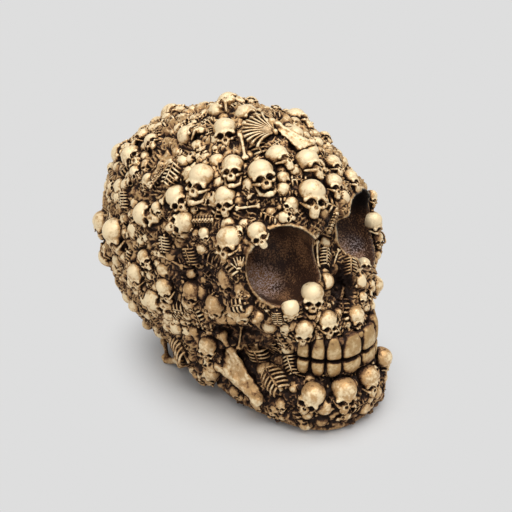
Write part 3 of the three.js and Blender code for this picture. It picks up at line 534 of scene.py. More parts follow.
def tube(points, radii, sides=7, flat=1.0):
    """A closed tube along points; flat squeezes it along z."""
    points = np.array(points, float)
    radii = np.broadcast_to(np.array(radii, float), (len(points),))
    runs = np.gradient(points, axis=0)
    runs /= np.linalg.norm(runs, axis=1)[:, None]
    side = np.cross(runs[0], (0, 0, 1) if abs(runs[0][2]) < 0.9 else (1, 0, 0))
    rings = []
    for point, run, radius in zip(points, runs, radii):
        side = side - run * (side @ run)
        side /= np.linalg.norm(side)
        up = np.cross(side, run)
        angle = np.linspace(0, 2 * np.pi, sides, endpoint=False)[:, None]
        ring = np.cos(angle) * side - np.sin(angle) * up
        ring[:, 2] *= flat
        rings.append(point + radius * ring)
    return rings_mesh(rings)


def merged(parts):
    verts, faces, base = [], [], 0
    for v, f in parts:
        verts.append(v)
        faces.append(np.asarray(f) + base)
        base += len(v)
    return np.concatenate(verts), np.concatenate(faces)


def placed(part, matrix):
    verts, faces = part
    m = np.array(matrix)
    return verts @ m[:3, :3].T + m[:3, 3], faces


# Small castings, one unit wide or long
def skull_field(p, jaw):
    q = mirrored(p)
    head = ellipsoid(q, *HEAD["crown"])
    head = smooth_min(head, capsule(q, *HEAD["brow"]), 0.1)
    head = smooth_min(head, ellipsoid(q, *HEAD["muzzle"]), 0.06)
    head = smooth_min(head, capsule(q, *HEAD["cheek_bone"]), 0.04)
    head = smooth_min(head, ellipsoid(q, *HEAD["short_teeth" if jaw else "teeth"]), 0.05)
    for hollow, blend in (("temple", 0.05), ("cheek", 0.03), ("eye", 0.015)):
        head = smooth_max(head, -ellipsoid(q, *HEAD[hollow]), blend)
    head = smooth_min(head, capsule(q, *HEAD["bridge"]), 0.03)
    head = smooth_max(head, -ellipsoid(q, *HEAD["nostril"]), 0.012)
    head = head + 0.014 * np.sin(7 * p[..., 0] + 2) * np.sin(6 * p[..., 1] + 1) * np.sin(8 * p[..., 2])
    down, forward = (-p[..., 1] - BITE["down"]) / 0.04, (p[..., 2] - BITE["forward"]) / 0.1
    teeth = np.clip(down, 0, 1) * np.clip(forward, 0, 1)
    head = head + BITE["groove"] * teeth * (1 - np.cos(2 * np.pi * p[..., 0] / BITE["pitch"]))
    head = head + BITE["line_depth"] * teeth * np.exp(-np.square((p[..., 1] + BITE["line"]) / 0.025))
    if jaw:
        bone = capsule(q, *HEAD["jaw_branch"])
        bone = smooth_min(bone, capsule(q, *HEAD["jaw_bow"]), 0.06)
        bone = smooth_min(bone, ellipsoid(q, *HEAD["jaw_teeth"]), 0.05)
        head = np.minimum(head, bone)
    return np.maximum(head, HEAD_BACK - p[..., 2])


def bone_field(p):
    q = np.stack([np.abs(p[..., 0]), np.abs(p[..., 1]), p[..., 2]], -1)
    shaft = capsule(q, (0, 0, 0), (0, 0.4, 0), 0.04, 0.055)
    return smooth_min(shaft, ellipsoid(q, (0.05, 0.43, 0), (0.065, 0.075, 0.07)), 0.04)


def make_skull(step, jaw):
    low = (-0.6, -1.05 if jaw else -0.9, -0.4)
    return surface(lambda p: skull_field(p, jaw), low, (0.6, 0.75, 0.75), step)


def make_bone(step):
    part = surface(bone_field, (-0.2, -0.6, -0.15), (0.2, 0.6, 0.15), step)
    return part[0] + (0, 0, 0.07), part[1]


def make_cage(ribs=6, sides=6, points=8):
    """A rib cage: arched pairs of ribs round a breastbone and a spine."""
    parts = [tube([(0, y, 0.3) for y in np.linspace(-0.36, 0.44, 5)], 0.05, sides, 0.7)]
    for i in range(ribs):
        y = 0.42 - 1.0 / ribs * i
        wide = 0.3 + 0.11 * math.sin(math.pi * (i + 0.6) / ribs)
        for side in SIDES:
            angle = np.linspace(0.06, 1.0, points) * math.pi / 2
            path = np.stack([side * wide * np.sin(angle), y - 0.1 * np.sin(angle), 0.31 * np.cos(angle)], -1)
            parts.append(tube(path, np.linspace(0.27, 0.2, points) / ribs, sides))
    parts.append(tube([(0, y, 0.02) for y in np.linspace(-0.5, 0.5, 5)], 0.07, sides))
    return merged(parts)


def make_fan(ribs=11):
    """Ribs that spread from one end of the breastbone."""
    parts = [tube([(0.52, -0.1, 0.08), (0.47, 0, 0.12), (0.5, 0.12, 0.08)], (0.05, 0.1, 0.05), 8)]
    for i in range(ribs):
        angle = math.radians(-50 + 100 * i / (ribs - 1))
        reach = np.linspace(0.02, 0.98, 8)
        bend = angle + 0.25 * reach**2 * np.sign(angle) * abs(angle)
        arch = 0.09 + 0.09 * np.sin(reach * 2.6)
        path = np.stack([0.48 - reach * np.cos(bend), reach * np.sin(bend), arch], -1)
        parts.append(tube(path, np.linspace(0.034, 0.044, 8), 7, 1.3))
    return merged(parts)


def make_spine(blocks=7, sides=9):
    """A backbone: drums with a wing on both sides and a knob on top."""
    parts = []
    for i in range(blocks):
        y = (i - (blocks - 1) / 2) * (0.98 / blocks)
        half = 0.36 / blocks
        drum = [(0, y - half, 0.08), (0, y, 0.08), (0, y + half, 0.08)]
        parts.append(tube(drum, (0.09, 0.1, 0.09), sides))
        wings = [(-0.19, y - 0.01, 0.06), (0, y + 0.01, 0.1), (0.19, y - 0.01, 0.06)]
        parts.append(tube(wings, (0.02, 0.045, 0.02), 5))
        parts.append(tube([(0, y + 0.02, 0.12), (0, y - 0.02, 0.21)], (0.045, 0.025), 5))
    return merged(parts)


def make_hand(sides=6):
    """A bony hand: wrist bones, palm bones and jointed fingers."""
    parts = [tube([(-0.14, -0.42, 0.05), (0, -0.4, 0.07), (0.14, -0.42, 0.05)], (0.06, 0.08, 0.06), sides)]
    for i, angle in enumerate((-46, -17, -4, 9, 22)):
        a = math.radians(angle)
        out = np.array((math.sin(a), math.cos(a), 0))
        start = np.array((-0.13 + 0.065 * i, -0.38, 0.06))
        lengths = (0.3, 0.2, 0.15) if i else (0.2, 0.15, 0.1)
        for k, run in enumerate(lengths):
            end = start + out * run
            lift = np.array((0, 0, 0.03 if k < 2 else -0.02))
            path = [start, (start + end) / 2 + lift / 2, end + lift]
            parts.append(tube(path, (0.045, 0.028, 0.042), sides))
            start = end + lift
    return merged(parts)


def blade_field(p):
    """A shoulder blade: a curved plate with a ridge, knobs at its corners and a pitted face."""
    x, y, z = p[..., 0], p[..., 1], p[..., 2]
    narrow = 0.1 + 0.2 * np.clip(0.5 - y, 0, 1)
    edge = np.maximum(np.abs(x) - narrow, np.abs(y) - 0.48)
    plate = smooth_max(edge, np.abs(z - 0.05 - 0.5 * x**2) - 0.035, 0.03)
    plate = smooth_min(plate, capsule(p, (0.16, -0.42, 0.08), (-0.02, 0.5, 0.14), 0.04, 0.06), 0.05)
    for place, reach in (((-0.24, -0.42, 0.08), 0.085), ((0.22, -0.46, 0.1), 0.095), ((0, 0.5, 0.12), 0.09)):
        plate = smooth_min(plate, ellipsoid(p, place, (reach, reach, reach)), 0.06)
    pits = np.sin(31 * x + 3 * y) * np.sin(27 * y) + 0.6 * np.sin(53 * x - 20 * y)
    return plate + 0.012 * pits


def make_blade(step):
    return surface(blade_field, (-0.45, -0.6, -0.2), (0.45, 0.65, 0.35), step)


# Where an ornament sits
def bearing(longitude, latitude):
    """A direction from the skull's middle, from angles seen on a skull of the stated proportions."""
    a, e = math.radians(longitude), math.radians(latitude)
    wide, long = CASE["wide"] / PROPORTIONS["width"], CASE["long"] / PROPORTIONS["length"]
    tall = CASE["up"] / PROPORTIONS["up"] if math.sin(e) > 0 else MOUTH_DROP / PROPORTIONS["down"]
    level = math.cos(e)
    return Vector((math.sin(a) * level * wide, -math.cos(a) * level * long, math.sin(e) * tall)).normalized()


def hit(longitude, latitude):
    out = bearing(longitude, latitude)
    centre = Vector((0, 0, CASE["height"]))
    place, normal, _, _ = made["ground"].ray_cast(centre + out * RAY_START, -out)
    return place, normal


def standing(up, normal, place):
    """A matrix at a place on the skull, its y axis along up and its z axis square to the surface."""
    matrix = Matrix.Identity(4)
    for column, vector in enumerate((up.cross(normal), up, normal, place)):
        matrix.col[column][:3] = vector
    return matrix


def slope(feel, u, v, across, along):
    """The surface's normal round a seat, from five probes; feel gives a place and the normal there."""
    around = ((0, 0), (-across, 0), (across, 0), (0, -along), (0, along))
    return sum((feel(u + a, v + b)[1] for a, b in around), Vector()).normalized()


def seat(longitude, latitude, turn):
    """A matrix on the skull's surface, square to it, turned from the line that runs up to the crown."""
    spread = SEAT_PROBE / max(math.cos(math.radians(latitude)), 0.03)
    normal = slope(hit, longitude, latitude, spread, SEAT_PROBE)
    out, crownward = bearing(longitude, latitude), bearing(longitude, latitude + 90)
    crownward -= out * crownward.dot(out)
    north = (crownward - normal * crownward.dot(normal)).normalized()
    east = north.cross(normal)
    a = math.radians(turn)
    return standing(north * math.cos(a) + east * math.sin(a), normal, hit(longitude, latitude)[0])


def camera_axes(a, e):
    """The camera's right, up and back, from its azimuth and elevation in radians."""
    right = Vector((math.cos(a), math.sin(a), 0))
    up = Vector((-math.sin(a) * math.sin(e), math.cos(a) * math.sin(e), math.cos(e)))
    back = Vector((math.sin(a) * math.cos(e), -math.cos(a) * math.cos(e), math.sin(e)))
    return right, up, back


def sight(x, y):
    """Where the photo's camera stands, and the way it looks through one of its pixels."""
    right, up, back = camera_axes(math.radians(VIEW["azimuth"]), math.radians(VIEW["elevation"]))
    middle = Vector((0, 0, CASE["height"]))
    eye = middle + back * VIEW["distance"] + right * VIEW["aside"] - up * VIEW["below"]
    return eye, (right * (x - PHOTO_SIZE / 2) - up * (y - PHOTO_SIZE / 2) - back * FOCAL).normalized()


def seen(x, y):
    """The point of the casting that a pixel shows, or the nearest one to it past the outline."""
    eye, way = sight(x, y)
    place, normal, _, _ = made["ground"].ray_cast(eye, way)
    if place is None:
        along = [made["ground"].find_nearest(eye + way * reach) for reach in np.linspace(*SIGHT_SPAN)]
        place, normal, _, _ = min(along, key=lambda found: found[3])
    return place, normal


def seat_seen(low, high):
    """A seat from both ends of an ornament in the photo, and the ornament's length in millimetres."""
    middle = ((low[0] + high[0]) / 2, (low[1] + high[1]) / 2)
    place, _ = seen(*middle)
    normal = slope(seen, *middle, SEEN_PROBE, SEEN_PROBE)
    eye, _ = sight(*middle)
    facing = (normal + SEEN_FACING * (eye - place).normalized()).normalized()
    ends = []
    for pixel in (low, high):
        _, way = sight(*pixel)
        ends.append(eye + way * ((place - eye).dot(facing) / way.dot(facing)))
    up = ends[1] - ends[0]
    up = (up - normal * up.dot(normal)).normalized()
    return standing(up, normal, place), math.dist(low, high) * (place - eye).length / FOCAL


def spiral():
    """Where the CAD model has a skull or bone cast in: kind, size and matrix."""
    count = round(4 * math.pi * CASE["wide"] * CASE["long"] / CAST_IN_SPACING**2)
    golden = 180 * (3 - math.sqrt(5))
    for i in range(count):
        latitude = math.degrees(math.asin(1 - (2 * i + 1) / count))
        matrix = seat((i * golden) % 360, latitude, i * golden)
        kind, size = CAST_IN[i % len(CAST_IN)]
        place = (matrix @ Matrix.Translation((0, 0, -CAST_IN_SINK))).translation
        near = any((m.translation - place).length < (s + size) / 2 for m, s in made["seats"])
        hollow = any((Vector(socket_middle(side)) - place).length < CAST_IN_BERTH for side in SIDES)
        mouth = (Vector((0, -ARCH_REACH, MOUTH_HEIGHT)) - place).length < 2 * ARCH_HALF_WIDTH
        if not (near or hollow or mouth) and place.z > BASE_HEIGHT + CAST_IN[0][1]:
            yield kind, size, matrix


# Meshes and node groups
def origin_shift():
    """Where the skull's own origin lies in the row's frame, in metres, read off the base plate."""
    low, high = (np.array(v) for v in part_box("base_plate"))
    middle = (low + high) / 2
    return np.array((middle[0], middle[1] + PLATE_MIDDLE * MM, 0.0))


def new_mesh(name, co, loops, sizes):
    """A mesh from its coordinates, its faces' corners in a row, and how many corners each face has."""
    mesh = bpy.data.meshes.new(name)
    mesh.vertices.add(len(co) // 3)
    mesh.vertices.foreach_set("co", co)
    mesh.loops.add(len(loops))
    mesh.loops.foreach_set("vertex_index", loops)
    mesh.polygons.add(len(sizes))
    mesh.polygons.foreach_set("loop_start", (np.cumsum(sizes) - sizes).astype("i4"))
    mesh.update(calc_edges=True)
    return mesh


def new_object(name, mesh):
    obj = bpy.data.objects.new(name, mesh)
    bpy.context.scene.collection.objects.link(obj)
    return obj


def to_mesh(name, part, **attributes):
    """A mesh in metres in the row's frame from points and faces in millimetres."""
    verts, faces = part
    faces = np.asarray(faces)
    tri = faces[:, 2] == faces[:, 3]
    loops = np.concatenate([faces[~tri].ravel(), faces[tri][:, :3].ravel()])
    sizes = np.repeat([4, 3], [(~tri).sum(), tri.sum()])
    mesh = new_mesh(name, (verts * MM + origin_shift()).astype("f4").ravel(), loops.astype("i4"), sizes)
    mesh.polygons.foreach_set("use_smooth", np.ones(len(sizes), bool))
    for key, values in attributes.items():
        mesh.attributes.new(key, "FLOAT", "POINT").data.foreach_set("value", np.asarray(values, "f4"))
    return mesh


def new_group(name, kind, inputs, outputs):
    tree = bpy.data.node_groups.new(name, kind)
    for label, socket, value in inputs:
        item = tree.interface.new_socket(label, in_out="INPUT", socket_type=socket)
        if value is not None:
            item.default_value = value
    for label, socket in outputs:
        tree.interface.new_socket(label, in_out="OUTPUT", socket_type=socket)
    return tree, tree.nodes.new("NodeGroupInput"), tree.nodes.new("NodeGroupOutput")


def add(tree, kind, links=(), **settings):
    """A node with its settings; links pairs an input with a value or with another node's output."""
    node = tree.nodes.new(kind)
    for key, value in settings.items():
        setattr(node, key, value)
    for key, value in dict(links).items():
        if isinstance(value, bpy.types.NodeSocket):
            tree.links.new(value, node.inputs[key])
        else:
            node.inputs[key].default_value = value
    return node


def math_node(tree, operation, a, b=0.0, clamp=False):
    return add(tree, "ShaderNodeMath", {0: a, 1: b}, operation=operation, use_clamp=clamp).outputs[0]


def vector_node(tree, operation, a, b=(0.0, 0.0, 0.0), scale=None):
    links = {0: a, 1: b} if scale is None else {0: a, "Scale": scale}
    node = add(tree, "ShaderNodeVectorMath", links, operation=operation)
    return node.outputs["Value" if operation in ("DOT_PRODUCT", "LENGTH") else "Vector"]


def stored(tree, name):
    """A value that the mesh carries, in a Geometry Nodes group."""
    return add(tree, "GeometryNodeInputNamedAttribute", {"Name": name}, data_type="FLOAT").outputs[0]


def dress(tree, geometry, source, result):
    """Gives the geometry the group's material and hands it out."""
    links = {"Geometry": geometry, "Material": source.outputs["Material"]}
    dressed = add(tree, "GeometryNodeSetMaterial", links)
    tree.links.new(dressed.outputs[0], result.inputs[0])


def baked(obj, tree, **inputs):
    """The mesh that a node group makes of obj, with nothing left on obj."""
    modifier = obj.modifiers.new("nodes", "NODES")
    modifier.node_group = tree
    for item in tree.interface.items_tree:
        if item.in_out == "INPUT" and item.name.replace(" ", "_") in inputs:
            modifier[item.identifier] = inputs[item.name.replace(" ", "_")]
    view = bpy.context.evaluated_depsgraph_get()
    mesh = bpy.data.meshes.new_from_object(obj.evaluated_get(view))
    obj.modifiers.clear()
    return mesh


def rubble_group():
    """Breaks the bare casting up into bones, rib cages and beads, one to a cell, lying any way round."""
    tree, source, result = new_group(
        "RubbleRelief",
        "GeometryNodeTree",
        [
            ("Geometry", "NodeSocketGeometry", None),
            ("Height", "NodeSocketFloat", 0.8),
            ("Cell", "NodeSocketFloat", 0.0056),
            ("Rib Pitch", "NodeSocketFloat", 0.0017),
            ("Material", "NodeSocketMaterial", None),
        ],
        [("Geometry", "NodeSocketGeometry")],
    )
    give, calc, vector = source.outputs, partial(math_node, tree), partial(vector_node, tree)
    place = add(tree, "GeometryNodeInputPosition").outputs[0]
    normal = add(tree, "GeometryNodeInputNormal").outputs[0]
    cell = give["Cell"]
    grid = add(tree, "ShaderNodeTexVoronoi", {"Vector": place, "Scale": calc("DIVIDE", 1.0, cell)})
    away = vector("SUBTRACT", place, grid.outputs["Position"])
    rise = vector("DOT_PRODUCT", away, normal)
    away = vector("SUBTRACT", away, vector("SCALE", normal, scale=rise))
    chance = vector("SUBTRACT", grid.outputs["Color"], (0.5, 0.5, 0.5))
    way = vector("NORMALIZE", vector("CROSS_PRODUCT", chance, normal))
    along, reach = vector("DOT_PRODUCT", away, way), vector("LENGTH", away)

    def leg(long, short):
        """The other side of a right triangle, 0 where there is none."""
        left = calc("SUBTRACT", calc("MULTIPLY", long, long), calc("MULTIPLY", short, short))
        return calc("SQRT", calc("MAXIMUM", left, 0.0))

    def hump(distance, share):
        """A round hump, share of a cell wide."""
        return leg(calc("MULTIPLY", cell, share), distance)

    def pick(above, low, high):
        """One form or the other, by the cell's own draw."""
        links = {"Switch": calc("GREATER_THAN", draw, above), "False": low, "True": high}
        return add(tree, "GeometryNodeSwitch", links, input_type="FLOAT").outputs[0]

    across = leg(reach, along)
    far = calc("ABSOLUTE", calc("DIVIDE", along, cell))
    knob = add(tree, "ShaderNodeMapRange", {"Value": far, "From Min": 0.2, "From Max": 0.42}).outputs[0]
    bone = calc("MULTIPLY", hump(across, 0.3), calc("ADD", 0.65, calc("MULTIPLY", knob, 0.45)))
    wave = calc("COSINE", calc("DIVIDE", calc("MULTIPLY", along, 2 * math.pi), give["Rib Pitch"]))
    ribs = calc("MULTIPLY", hump(across, 0.5), calc("ADD", 0.62, calc("MULTIPLY", wave, 0.38)))
    draw = add(tree, "ShaderNodeSeparateXYZ", {0: grid.outputs["Color"]}).outputs[0]
    height = pick(0.74, pick(0.42, ribs, bone), hump(reach, 0.46))
    fine = add(tree, "ShaderNodeTexNoise", {"Vector": place, "Scale": 620.0, "Detail": 2.0}).outputs[0]
    grain = calc("MULTIPLY", calc("SUBTRACT", fine, 0.5), 0.0012)
    height = calc("ADD", calc("SUBTRACT", height, calc("MULTIPLY", cell, 0.12)), grain)
    height = calc("MULTIPLY", calc("MULTIPLY", height, stored(tree, "rough")), give["Height"])
    offset = vector("SCALE", normal, scale=height)
    moved = add(tree, "GeometryNodeSetPosition", {"Geometry": give["Geometry"], "Offset": offset})
    dress(tree, moved.outputs[0], source, result)


def scatter_group():
    """Strews small castings over one zone of the skull, each square to it and turned at random."""
    tree, source, result = new_group(
        "ReliefScatter",
        "GeometryNodeTree",
        [
            ("Geometry", "NodeSocketGeometry", None),
            ("Castings", "NodeSocketCollection", None),
            ("Zone", "NodeSocketInt", 0),
            ("Spacing", "NodeSocketFloat", 0.005),
            ("Least Size", "NodeSocketFloat", 0.8),
            ("Greatest Size", "NodeSocketFloat", 1.2),
            ("Seed", "NodeSocketInt", 7),
            ("Material", "NodeSocketMaterial", None),
        ],
        [("Geometry", "NodeSocketGeometry")],
    )
    give = source.outputs
    here = add(
        tree, "FunctionNodeCompare", {0: stored(tree, "zone"), 1: give["Zone"], "Epsilon": 0.2},
        data_type="FLOAT", operation="EQUAL",
    )
    spread = add(
        tree, "GeometryNodeDistributePointsOnFaces",
        {
            "Mesh": give["Geometry"], "Selection": here.outputs[0], "Distance Min": give["Spacing"],
            "Density Max": 300000.0, "Seed": give["Seed"],
        },
        distribute_method="POISSON",
    )
    spin = add(
        tree, "FunctionNodeRandomValue", {2: 0.0, 3: 2 * math.pi, "Seed": give["Seed"]}, data_type="FLOAT",
    )
    turn = add(tree, "ShaderNodeCombineXYZ", {"Z": spin.outputs[1]})
    rotation = add(
        tree, "FunctionNodeRotateRotation",
        {"Rotation": spread.outputs["Rotation"], "Rotate By": turn.outputs[0]}, rotation_space="LOCAL",
    )
    size = add(
        tree, "FunctionNodeRandomValue", {2: give["Least Size"], 3: give["Greatest Size"], "Seed": 3},
        data_type="FLOAT",
    )
    castings = add(
        tree, "GeometryNodeCollectionInfo",
        {"Collection": give["Castings"], "Separate Children": True, "Reset Children": True},
    )
    put = add(
        tree, "GeometryNodeInstanceOnPoints",
        {
            "Points": spread.outputs["Points"], "Instance": castings.outputs[0], "Pick Instance": True,
            "Rotation": rotation.outputs[0], "Scale": size.outputs[1],
        },
    )
    pick = add(tree, "FunctionNodeRandomValue", {4: 0, 5: 97, "Seed": give["Seed"]}, data_type="INT")
    tree.links.new(pick.outputs[2], put.inputs["Instance Index"])
    real = add(tree, "GeometryNodeRealizeInstances", {"Geometry": put.outputs[0]})
    dress(tree, real.outputs[0], source, result)


def wash_group():
    """Stores on each point how much its neighbours hide of the sky above it: there a dark wash stays."""
    tree, source, result = new_group(
        "RecessWash",
        "GeometryNodeTree",
        [
            ("Geometry", "NodeSocketGeometry", None),
            ("Reach", "NodeSocketFloat", 0.004),
            ("Rays", "NodeSocketInt", 20),
        ],
        [("Geometry", "NodeSocketGeometry")],
    )
    give, calc, vector = source.outputs, partial(math_node, tree), partial(vector_node, tree)
    start, end = tree.nodes.new("GeometryNodeRepeatInput"), tree.nodes.new("GeometryNodeRepeatOutput")
    start.pair_with_output(end)

    def store(geometry, value):
        links = {"Geometry": geometry, "Name": "wash", "Value": value}
        node = add(tree, "GeometryNodeStoreNamedAttribute", links, data_type="FLOAT", domain="POINT")
        return node.outputs[0]

    tree.links.new(give["Rays"], start.inputs["Iterations"])
    tree.links.new(store(give["Geometry"], 0.0), start.inputs["Geometry"])
    place = add(tree, "GeometryNodeInputPosition").outputs[0]
    normal = add(tree, "GeometryNodeInputNormal").outputs[0]
    chance = add(
        tree, "FunctionNodeRandomValue",
        {0: (-1.0, -1.0, -1.0), 1: (1.0, 1.0, 1.0), "Seed": start.outputs["Iteration"]},
        data_type="FLOAT_VECTOR",
    )
    ray = add(
        tree, "GeometryNodeRaycast",
        {
            "Target Geometry": give["Geometry"],
            "Source Position": vector("ADD", place, vector("SCALE", normal, scale=0.00012)),
            "Ray Direction": vector("ADD", vector("NORMALIZE", chance.outputs[0]), normal),
            "Ray Length": give["Reach"],
        },
    )
    far = calc("DIVIDE", ray.outputs["Hit Distance"], give["Reach"])
    hidden = calc("MULTIPLY", calc("SUBTRACT", 1.0, calc("MULTIPLY", far, far)), ray.outputs["Is Hit"])
    share = calc("DIVIDE", hidden, give["Rays"])
    wash = store(start.outputs["Geometry"], calc("ADD", stored(tree, "wash"), share))
    tree.links.new(wash, end.inputs["Geometry"])
    tree.links.new(end.outputs["Geometry"], result.inputs[0])


# Materials
def mixed(tree, factor, a, b):
    return add(tree, "ShaderNodeMix", {0: factor, 6: a, 7: b}, data_type="RGBA").outputs[2]


def ramp(tree, value, low, high):
    """0 below low, 1 above high, smooth between."""
    links = {"Value": value, "From Min": low, "From Max": high}
    return add(tree, "ShaderNodeMapRange", links, interpolation_type="SMOOTHSTEP").outputs[0]


def noise(tree, scale, detail=4.0):
    """Noise over the row's frame, with so many lumps to a metre."""
    place = add(tree, "ShaderNodeTexCoord").outputs["Object"]
    return add(tree, "ShaderNodeTexNoise", {"Vector": place, "Scale": scale, "Detail": detail}).outputs[0]


def bumps(tree, height, strength, depth):
    links = {"Height": height, "Strength": strength, "Distance": depth}
    return add(tree, "ShaderNodeBump", links).outputs[0]


def carried(tree, name):
    """A mask that the mesh carries, in a material."""
    return add(tree, "ShaderNodeAttribute", attribute_name=name).outputs["Fac"]


def resin_paint():
    """Dark wash in the recesses and painted shade, bronze over it, gold on what stands out, rubbed pale on
    the tops.
    """
    tree, source, result = new_group(
        "RubbedGoldPaint",
        "ShaderNodeTree",
        [
            ("Wash", "NodeSocketFloat", 0.3),
            ("Depth", "NodeSocketFloat", 0.0),
            ("Dark", "NodeSocketColor", None),
            ("Bronze", "NodeSocketColor", None),
            ("Gold", "NodeSocketColor", None),
            ("Pale Gold", "NodeSocketColor", None),
        ],
        [
            ("Colour", "NodeSocketColor"),
            ("Roughness", "NodeSocketFloat"),
            ("Metal", "NodeSocketFloat"),
            ("Normal", "NodeSocketVector"),
        ],
    )
    give, take, calc = source.outputs, result.inputs, partial(math_node, tree)
    blotch, grain, speck = noise(tree, 240.0), noise(tree, 800.0), noise(tree, 2600.0, 2.0)
    # Clear is low where the recess wash and the painted shade are
    clear = calc("SUBTRACT", calc("SUBTRACT", 1.0, give["Wash"]), give["Depth"])
    drift = calc("MULTIPLY", calc("SUBTRACT", blotch, 0.52), 0.75)
    flick = calc("MULTIPLY", calc("SUBTRACT", grain, 0.5), 0.45)
    clear = calc("ADD", calc("ADD", clear, drift), flick)
    gold, pale = ramp(tree, clear, 0.5, 0.7), ramp(tree, clear, 0.72, 0.96)
    colour = mixed(tree, ramp(tree, clear, 0.36, 0.52), give["Dark"], give["Bronze"])
    colour = mixed(tree, gold, colour, give["Gold"])
    tree.links.new(mixed(tree, pale, colour, give["Pale Gold"]), take["Colour"])
    rough = calc("SUBTRACT", 0.66, calc("MULTIPLY", gold, 0.22))
    rough = calc("ADD", rough, calc("MULTIPLY", calc("SUBTRACT", speck, 0.5), 0.2), True)
    tree.links.new(rough, take["Roughness"])
    metal = calc("SUBTRACT", calc("MULTIPLY", gold, 0.5), calc("MULTIPLY", pale, 0.25))
    tree.links.new(metal, take["Metal"])
    height = calc("ADD", calc("MULTIPLY", grain, 0.6), calc("MULTIPLY", speck, 0.4))
    tree.links.new(bumps(tree, height, 0.6, 0.0006), take["Normal"])


def socket_paint():
    """The bowls of the sockets: dark brown with bronze flecks, a painted highlight in places and painted
    shadow above.
    """
    tree, source, result = new_group(
        "SocketPaint",
        "ShaderNodeTree",
        [
            ("Pearl Area", "NodeSocketFloat", 0.0),
            ("Soot Area", "NodeSocketFloat", 0.0),
            ("Soot", "NodeSocketColor", None),
            ("Brown", "NodeSocketColor", None),
            ("Fleck", "NodeSocketColor", None),
            ("Pearl", "NodeSocketColor", None),
        ],
        [("Colour", "NodeSocketColor"), ("Roughness", "NodeSocketFloat"), ("Normal", "NodeSocketVector")],
    )
    give, take, calc = source.outputs, result.inputs, partial(math_node, tree)
    blotch, speck = noise(tree, 110.0), noise(tree, 1500.0, 2.0)
    amount = calc("ADD", calc("MULTIPLY", blotch, 0.6), calc("MULTIPLY", speck, 0.7))
    # More flecks where the painted highlight lies
    lit = calc("MULTIPLY", give["Pearl Area"], 0.2)
    fleck = ramp(tree, calc("ADD", amount, lit), 0.6, 0.84)
    # Painted highlight: pale specks where the light would catch the bowl
    pearl = calc("MULTIPLY", ramp(tree, speck, 0.48, 0.62), give["Pearl Area"])
    colour = mixed(tree, fleck, give["Brown"], give["Fleck"])
    colour = mixed(tree, pearl, colour, give["Pearl"])
    # Painted shadow laid over the top of the bowl
    tree.links.new(mixed(tree, give["Soot Area"], colour, give["Soot"]), take["Colour"])
    tree.links.new(calc("ADD", 0.36, calc("MULTIPLY", speck, 0.2)), take["Roughness"])
    tree.links.new(bumps(tree, speck, 0.5, 0.0003), take["Normal"])


def material(name, **principled):
    made_material = bpy.data.materials.new(name)
    made_material.use_nodes = True
    tree = made_material.node_tree
    shader = tree.nodes["Principled BSDF"]
    for key, value in principled.items():
        shader.inputs[key.replace("_", " ")].default_value = value
    return made_material, tree, shader


def resin(name, depth, colours, bowl_colours=None):
    """A resin material from the paint groups, reading the masks that the mesh carries."""
    _, tree, shader = material(name, Specular_IOR_Level=0.25)
    groups = bpy.data.node_groups
    links = {"Wash": carried(tree, "wash"), "Depth": depth, **colours}
    paint = add(tree, "ShaderNodeGroup", links, node_tree=groups["RubbedGoldPaint"]).outputs
    colour, rough, metal, normal = paint["Colour"], paint["Roughness"], paint["Metal"], paint["Normal"]
    if bowl_colours:
        inside = carried(tree, "socket")
        links = {"Pearl Area": carried(tree, "pearl"), "Soot Area": carried(tree, "soot"), **bowl_colours}
        bowl = add(tree, "ShaderNodeGroup", links, node_tree=groups["SocketPaint"]).outputs
        colour = mixed(tree, inside, colour, bowl["Colour"])
        links = {0: inside, 2: rough, 3: bowl["Roughness"]}
        rough = add(tree, "ShaderNodeMix", links, data_type="FLOAT").outputs[0]
        metal = math_node(tree, "MULTIPLY", metal, math_node(tree, "SUBTRACT", 1.0, inside))
        links = {0: inside, 4: normal, 5: bowl["Normal"]}
        normal = add(tree, "ShaderNodeMix", links, data_type="VECTOR").outputs[1]
    tree.links.new(colour, shader.inputs["Base Color"])
    tree.links.new(rough, shader.inputs["Roughness"])
    tree.links.new(metal, shader.inputs["Metallic"])
    tree.links.new(normal, shader.inputs["Normal"])


def plain_material(name, colour, roughness, scale, depth):
    """A plain surface with a fine grain in its colour and its relief."""
    _, tree, shader = material(name, Roughness=roughness)
    grain = noise(tree, scale)
    dark, light = (*[0.6 * c for c in colour], 1), (*colour, 1)
    tree.links.new(mixed(tree, ramp(tree, grain, 0.35, 0.65), dark, light), shader.inputs["Base Color"])
    tree.links.new(bumps(tree, grain, 0.5, depth), shader.inputs["Normal"])


# The pieces
def ease(value, low, high):
    """0 below low, 1 above high, smooth between."""
    t = np.clip((value - low) / (high - low), 0, 1)
    return t * t * (3 - 2 * t)


def rough_mask(p, above):
    """1 where the skull carries relief, 0 in the sockets, at the teeth and underneath."""
    near_mouth = np.abs(p[:, 0]) < MOUTH_BERTH["half_width"]
    near_mouth &= p[:, 1] < MOUTH_BERTH["front"]
    near_mouth &= np.abs(p[:, 2] - MOUTH_HEIGHT) < MOUTH_BERTH["half_height"]
    return np.where(near_mouth | (p[:, 2] < above), 0.0, ease(sockets(p), 0.6, 2.2))


def piece(name, mesh, nodes):
    """A piece of the object: it rides on the body, and stands for the CAD nodes named, if any."""
    mesh.name = name
    obj = new_object(name, mesh)
    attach(obj, "root")
    if nodes:
        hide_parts(*nodes)
    made["pieces"].append(obj)


